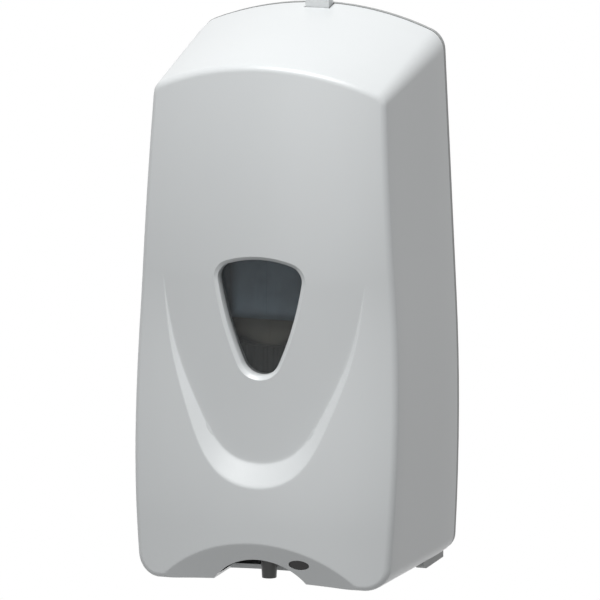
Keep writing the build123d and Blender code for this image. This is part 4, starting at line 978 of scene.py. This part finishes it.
# Top of the painted shade band at the bottle's base, in mm from the screws' middle.
shade_band_top = -11.0
FINISHES["bottle_plastic"] = filled_bottle("milky_bottle", shade_band_top)
print("bottle's thick base ends, mm from the screws' middle:", shade_band_top)

# %% [markdown]
# ## Metals
# Springs are drawn wire, pins are ground bars, the screws are zinc plated,
# and the motor's can is pressed from tinned sheet.
# Metal shows its making in its gloss: lines along the wire or round the bar,
# and the patchy crystals of a plated sheet.


# %% Springs, pins, screws and contacts
def metal(name, colour, rough, grain, line=(1.0, 1.0, 1.0), tarnish=0.12):
    """Metal whose roughness follows fine lines and a patchy tarnish that also tones the colour."""
    f = Finish(name)
    lines = f.noise(grain, 3.0, 0.6, f.stretched(*line))
    patches = f.noise(5.0, 3.0).step(0.35, 0.8)
    return f.set(
        Base_Color=f.blend(patches * 0.6 + lines * 0.4, colour, darker(colour, 2.2 * tarnish)),
        Metallic=1.0,
        Roughness=rough + lines * 0.12 + patches * 0.10,
        Normal=f.bump(lines, 0.004),
    )


FINISHES["spring_steel"] = metal("drawn_wire", paint(186, 187, 190), 0.20, 0.25)
FINISHES["pin_steel"] = metal("ground_bar", paint(196, 197, 199), 0.14, 0.2, tarnish=0.08)
FINISHES["screw_steel"] = metal("zinc_plate", paint(190, 193, 196), 0.24, 0.3, tarnish=0.18)
FINISHES["contact_metal"] = metal("nickel_strip", paint(208, 202, 186), 0.20, 0.2, (1.0, 0.2, 0.2), 0.10)
print("finishes with the bare metals:", len(FINISHES))


# %% The motor's can
def motor_can(name):
    """Pressed and plated can: each crystal of the plating has its own gloss, and lines run round the axis."""
    f = Finish(name)
    tone = f.node("ShaderNodeSeparateColor", {}, {0: f.cells(2.2, "Color")}, "Red")
    rings = f.noise(0.3, 2.0, 0.5, f.stretched(6.0, 0.4, 0.4))
    return f.set(
        Base_Color=f.blend(tone, paint(176, 178, 180), paint(205, 206, 207)),
        Metallic=1.0,
        Roughness=0.22 + tone * 0.16 + rings * 0.08,
        Normal=f.bump(rings, 0.006),
    )


FINISHES["motor_steel"] = motor_can("plated_can")
print("finishes so far:", len(FINISHES))

# %% [markdown]
# ## Batteries and circuit boards
# A battery's sleeve is printed film over a steel can.
# So one material splits along the height: film, a plain band and bare ends.
# A circuit board is glass laminate under a green lacquer.
# Its copper tracks show as lighter lines, and its pads are tinned.


# %% Battery sleeves
def battery_sleeve(name, low, length):
    """Film over the middle of each cell, a silver band near its top, and bare plated steel at both ends."""
    f = Finish(name)
    share = ((f.axis("Z") - low) / length).fraction()
    bare = 1 - share.step(0.035, 0.045) * (1 - share.step(0.945, 0.955))
    band = share.step(0.72, 0.725) * (1 - share.step(0.86, 0.865))
    film = f.noise(0.8, 2.0)
    wrinkles = f.noise(7.0, 2.0, place=f.stretched(1.0, 1.0, 0.3))
    body = f.blend(wrinkles, paint(38, 66, 84), paint(48, 80, 100))
    sleeve = f.blend(band, body, paint(196, 199, 202))
    return f.set(
        Base_Color=f.blend(bare, sleeve, paint(188, 188, 186)),
        Metallic=bare * 0.95 + band * 0.5,
        Roughness=0.26 + wrinkles * 0.10 + film * 0.04,
        Normal=f.bump(wrinkles + film * 0.2, 0.05),
    )


cell_low, cell_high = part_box("battery_cells")
cell_length = (cell_high[2] - cell_low[2]) * MM / 2
FINISHES["cell_sleeve"] = battery_sleeve("battery_film", cell_low[2] * MM, cell_length)
print("cell length, mm:", round(cell_length, 1))


# %% Circuit boards
def lacquered_board(name):
    """Green lacquer with tracks round scattered points, and tinned pads on a grid of 2.54 mm.

    A pad lies at a crossing of the grid where a noise is high enough.
    """
    f = Finish(name)
    ring = (f.cells(3.4, distance="CHEBYCHEV") * 6.0).fraction()
    tracks = ring.step(0.40, 0.46) * (1 - ring.step(0.74, 0.80))
    across, up = (((f.axis(name) / 2.54).fraction() - 0.5).size() for name in "XZ")
    pads = (1 - (across * across + up * up).root().step(0.16, 0.20)) * (f.noise(7.0, 1.0) > 0.55)
    green = f.blend(f.noise(9.0, 2.0), paint(22, 84, 52), paint(28, 98, 60))
    laid = f.blend(tracks, green, paint(46, 124, 76))
    return f.set(
        Base_Color=f.blend(pads, laid, paint(200, 200, 196)),
        Metallic=pads * 0.9,
        Roughness=0.30 + f.noise(0.6) * 0.08 + pads * 0.05,
        Normal=f.bump(tracks * 0.6 + pads, 0.035),
    )


FINISHES["board_laminate"] = lacquered_board("green_lacquer")
print("board finish nodes:", len(FINISHES["board_laminate"].node_tree.nodes))


# %% What is soldered on the boards
def soldered_parts(name, plug_top, can_low, front):
    """Ivory plugs below, black chips in the middle and capacitors above, told apart by their height.

    A capacitor has a dark sleeve, and a bright top where it reaches the front.
    """
    f = Finish(name)
    height, reach = f.axis("Z"), 0 - f.axis("Y")
    fine = f.noise(0.25, 2.0)
    mottle = f.noise(3.0, 2.0)
    plug, can = 1 - height.step(plug_top, plug_top + 0.2), height.step(can_low - 0.2, can_low)
    top = can * reach.step(front - 0.35, front - 0.25)
    chip = f.blend(mottle, paint(30, 31, 33), paint(42, 43, 45))
    colour = f.blend(plug, chip, f.blend(mottle, paint(214, 208, 190), paint(224, 219, 203)))
    colour = f.blend(can, colour, f.blend(mottle, paint(28, 36, 58), paint(36, 46, 70)))
    return f.set(
        Base_Color=f.blend(top, colour, paint(196, 197, 198)),
        Metallic=top * 0.9,
        Roughness=0.42 - can * 0.12 + fine * 0.1,
        Normal=f.bump(fine, 0.01),
    )


PLUG_HEIGHT, CAN_HEIGHT = 6.3, 8.3
parts_low, parts_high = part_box("board_parts")
part_front = -parts_low[1] * MM
plug_top, can_low = parts_low[2] * MM + PLUG_HEIGHT, parts_high[2] * MM - CAN_HEIGHT
FINISHES["board_black"] = soldered_parts("soldered_parts", plug_top, can_low, part_front)
print("board parts stand out to, mm:", round(part_front, 1))

# %% [markdown]
# ## Painting the carried-over pieces
# The record says which slot each CAD node takes its finish from, so the finishes are handed out by that list.
# Only the material slots of a CAD node change: its mesh and its place stay as they were packed.

# %% Hand out the finishes
for part in frame["record"]["subparts"]:
    node = frame["nodes"][part["node"]]
    if not node.material_slots:
        node.data.materials.append(None)
    for slot in node.material_slots:
        slot.material = FINISHES[part["material_slot"]]
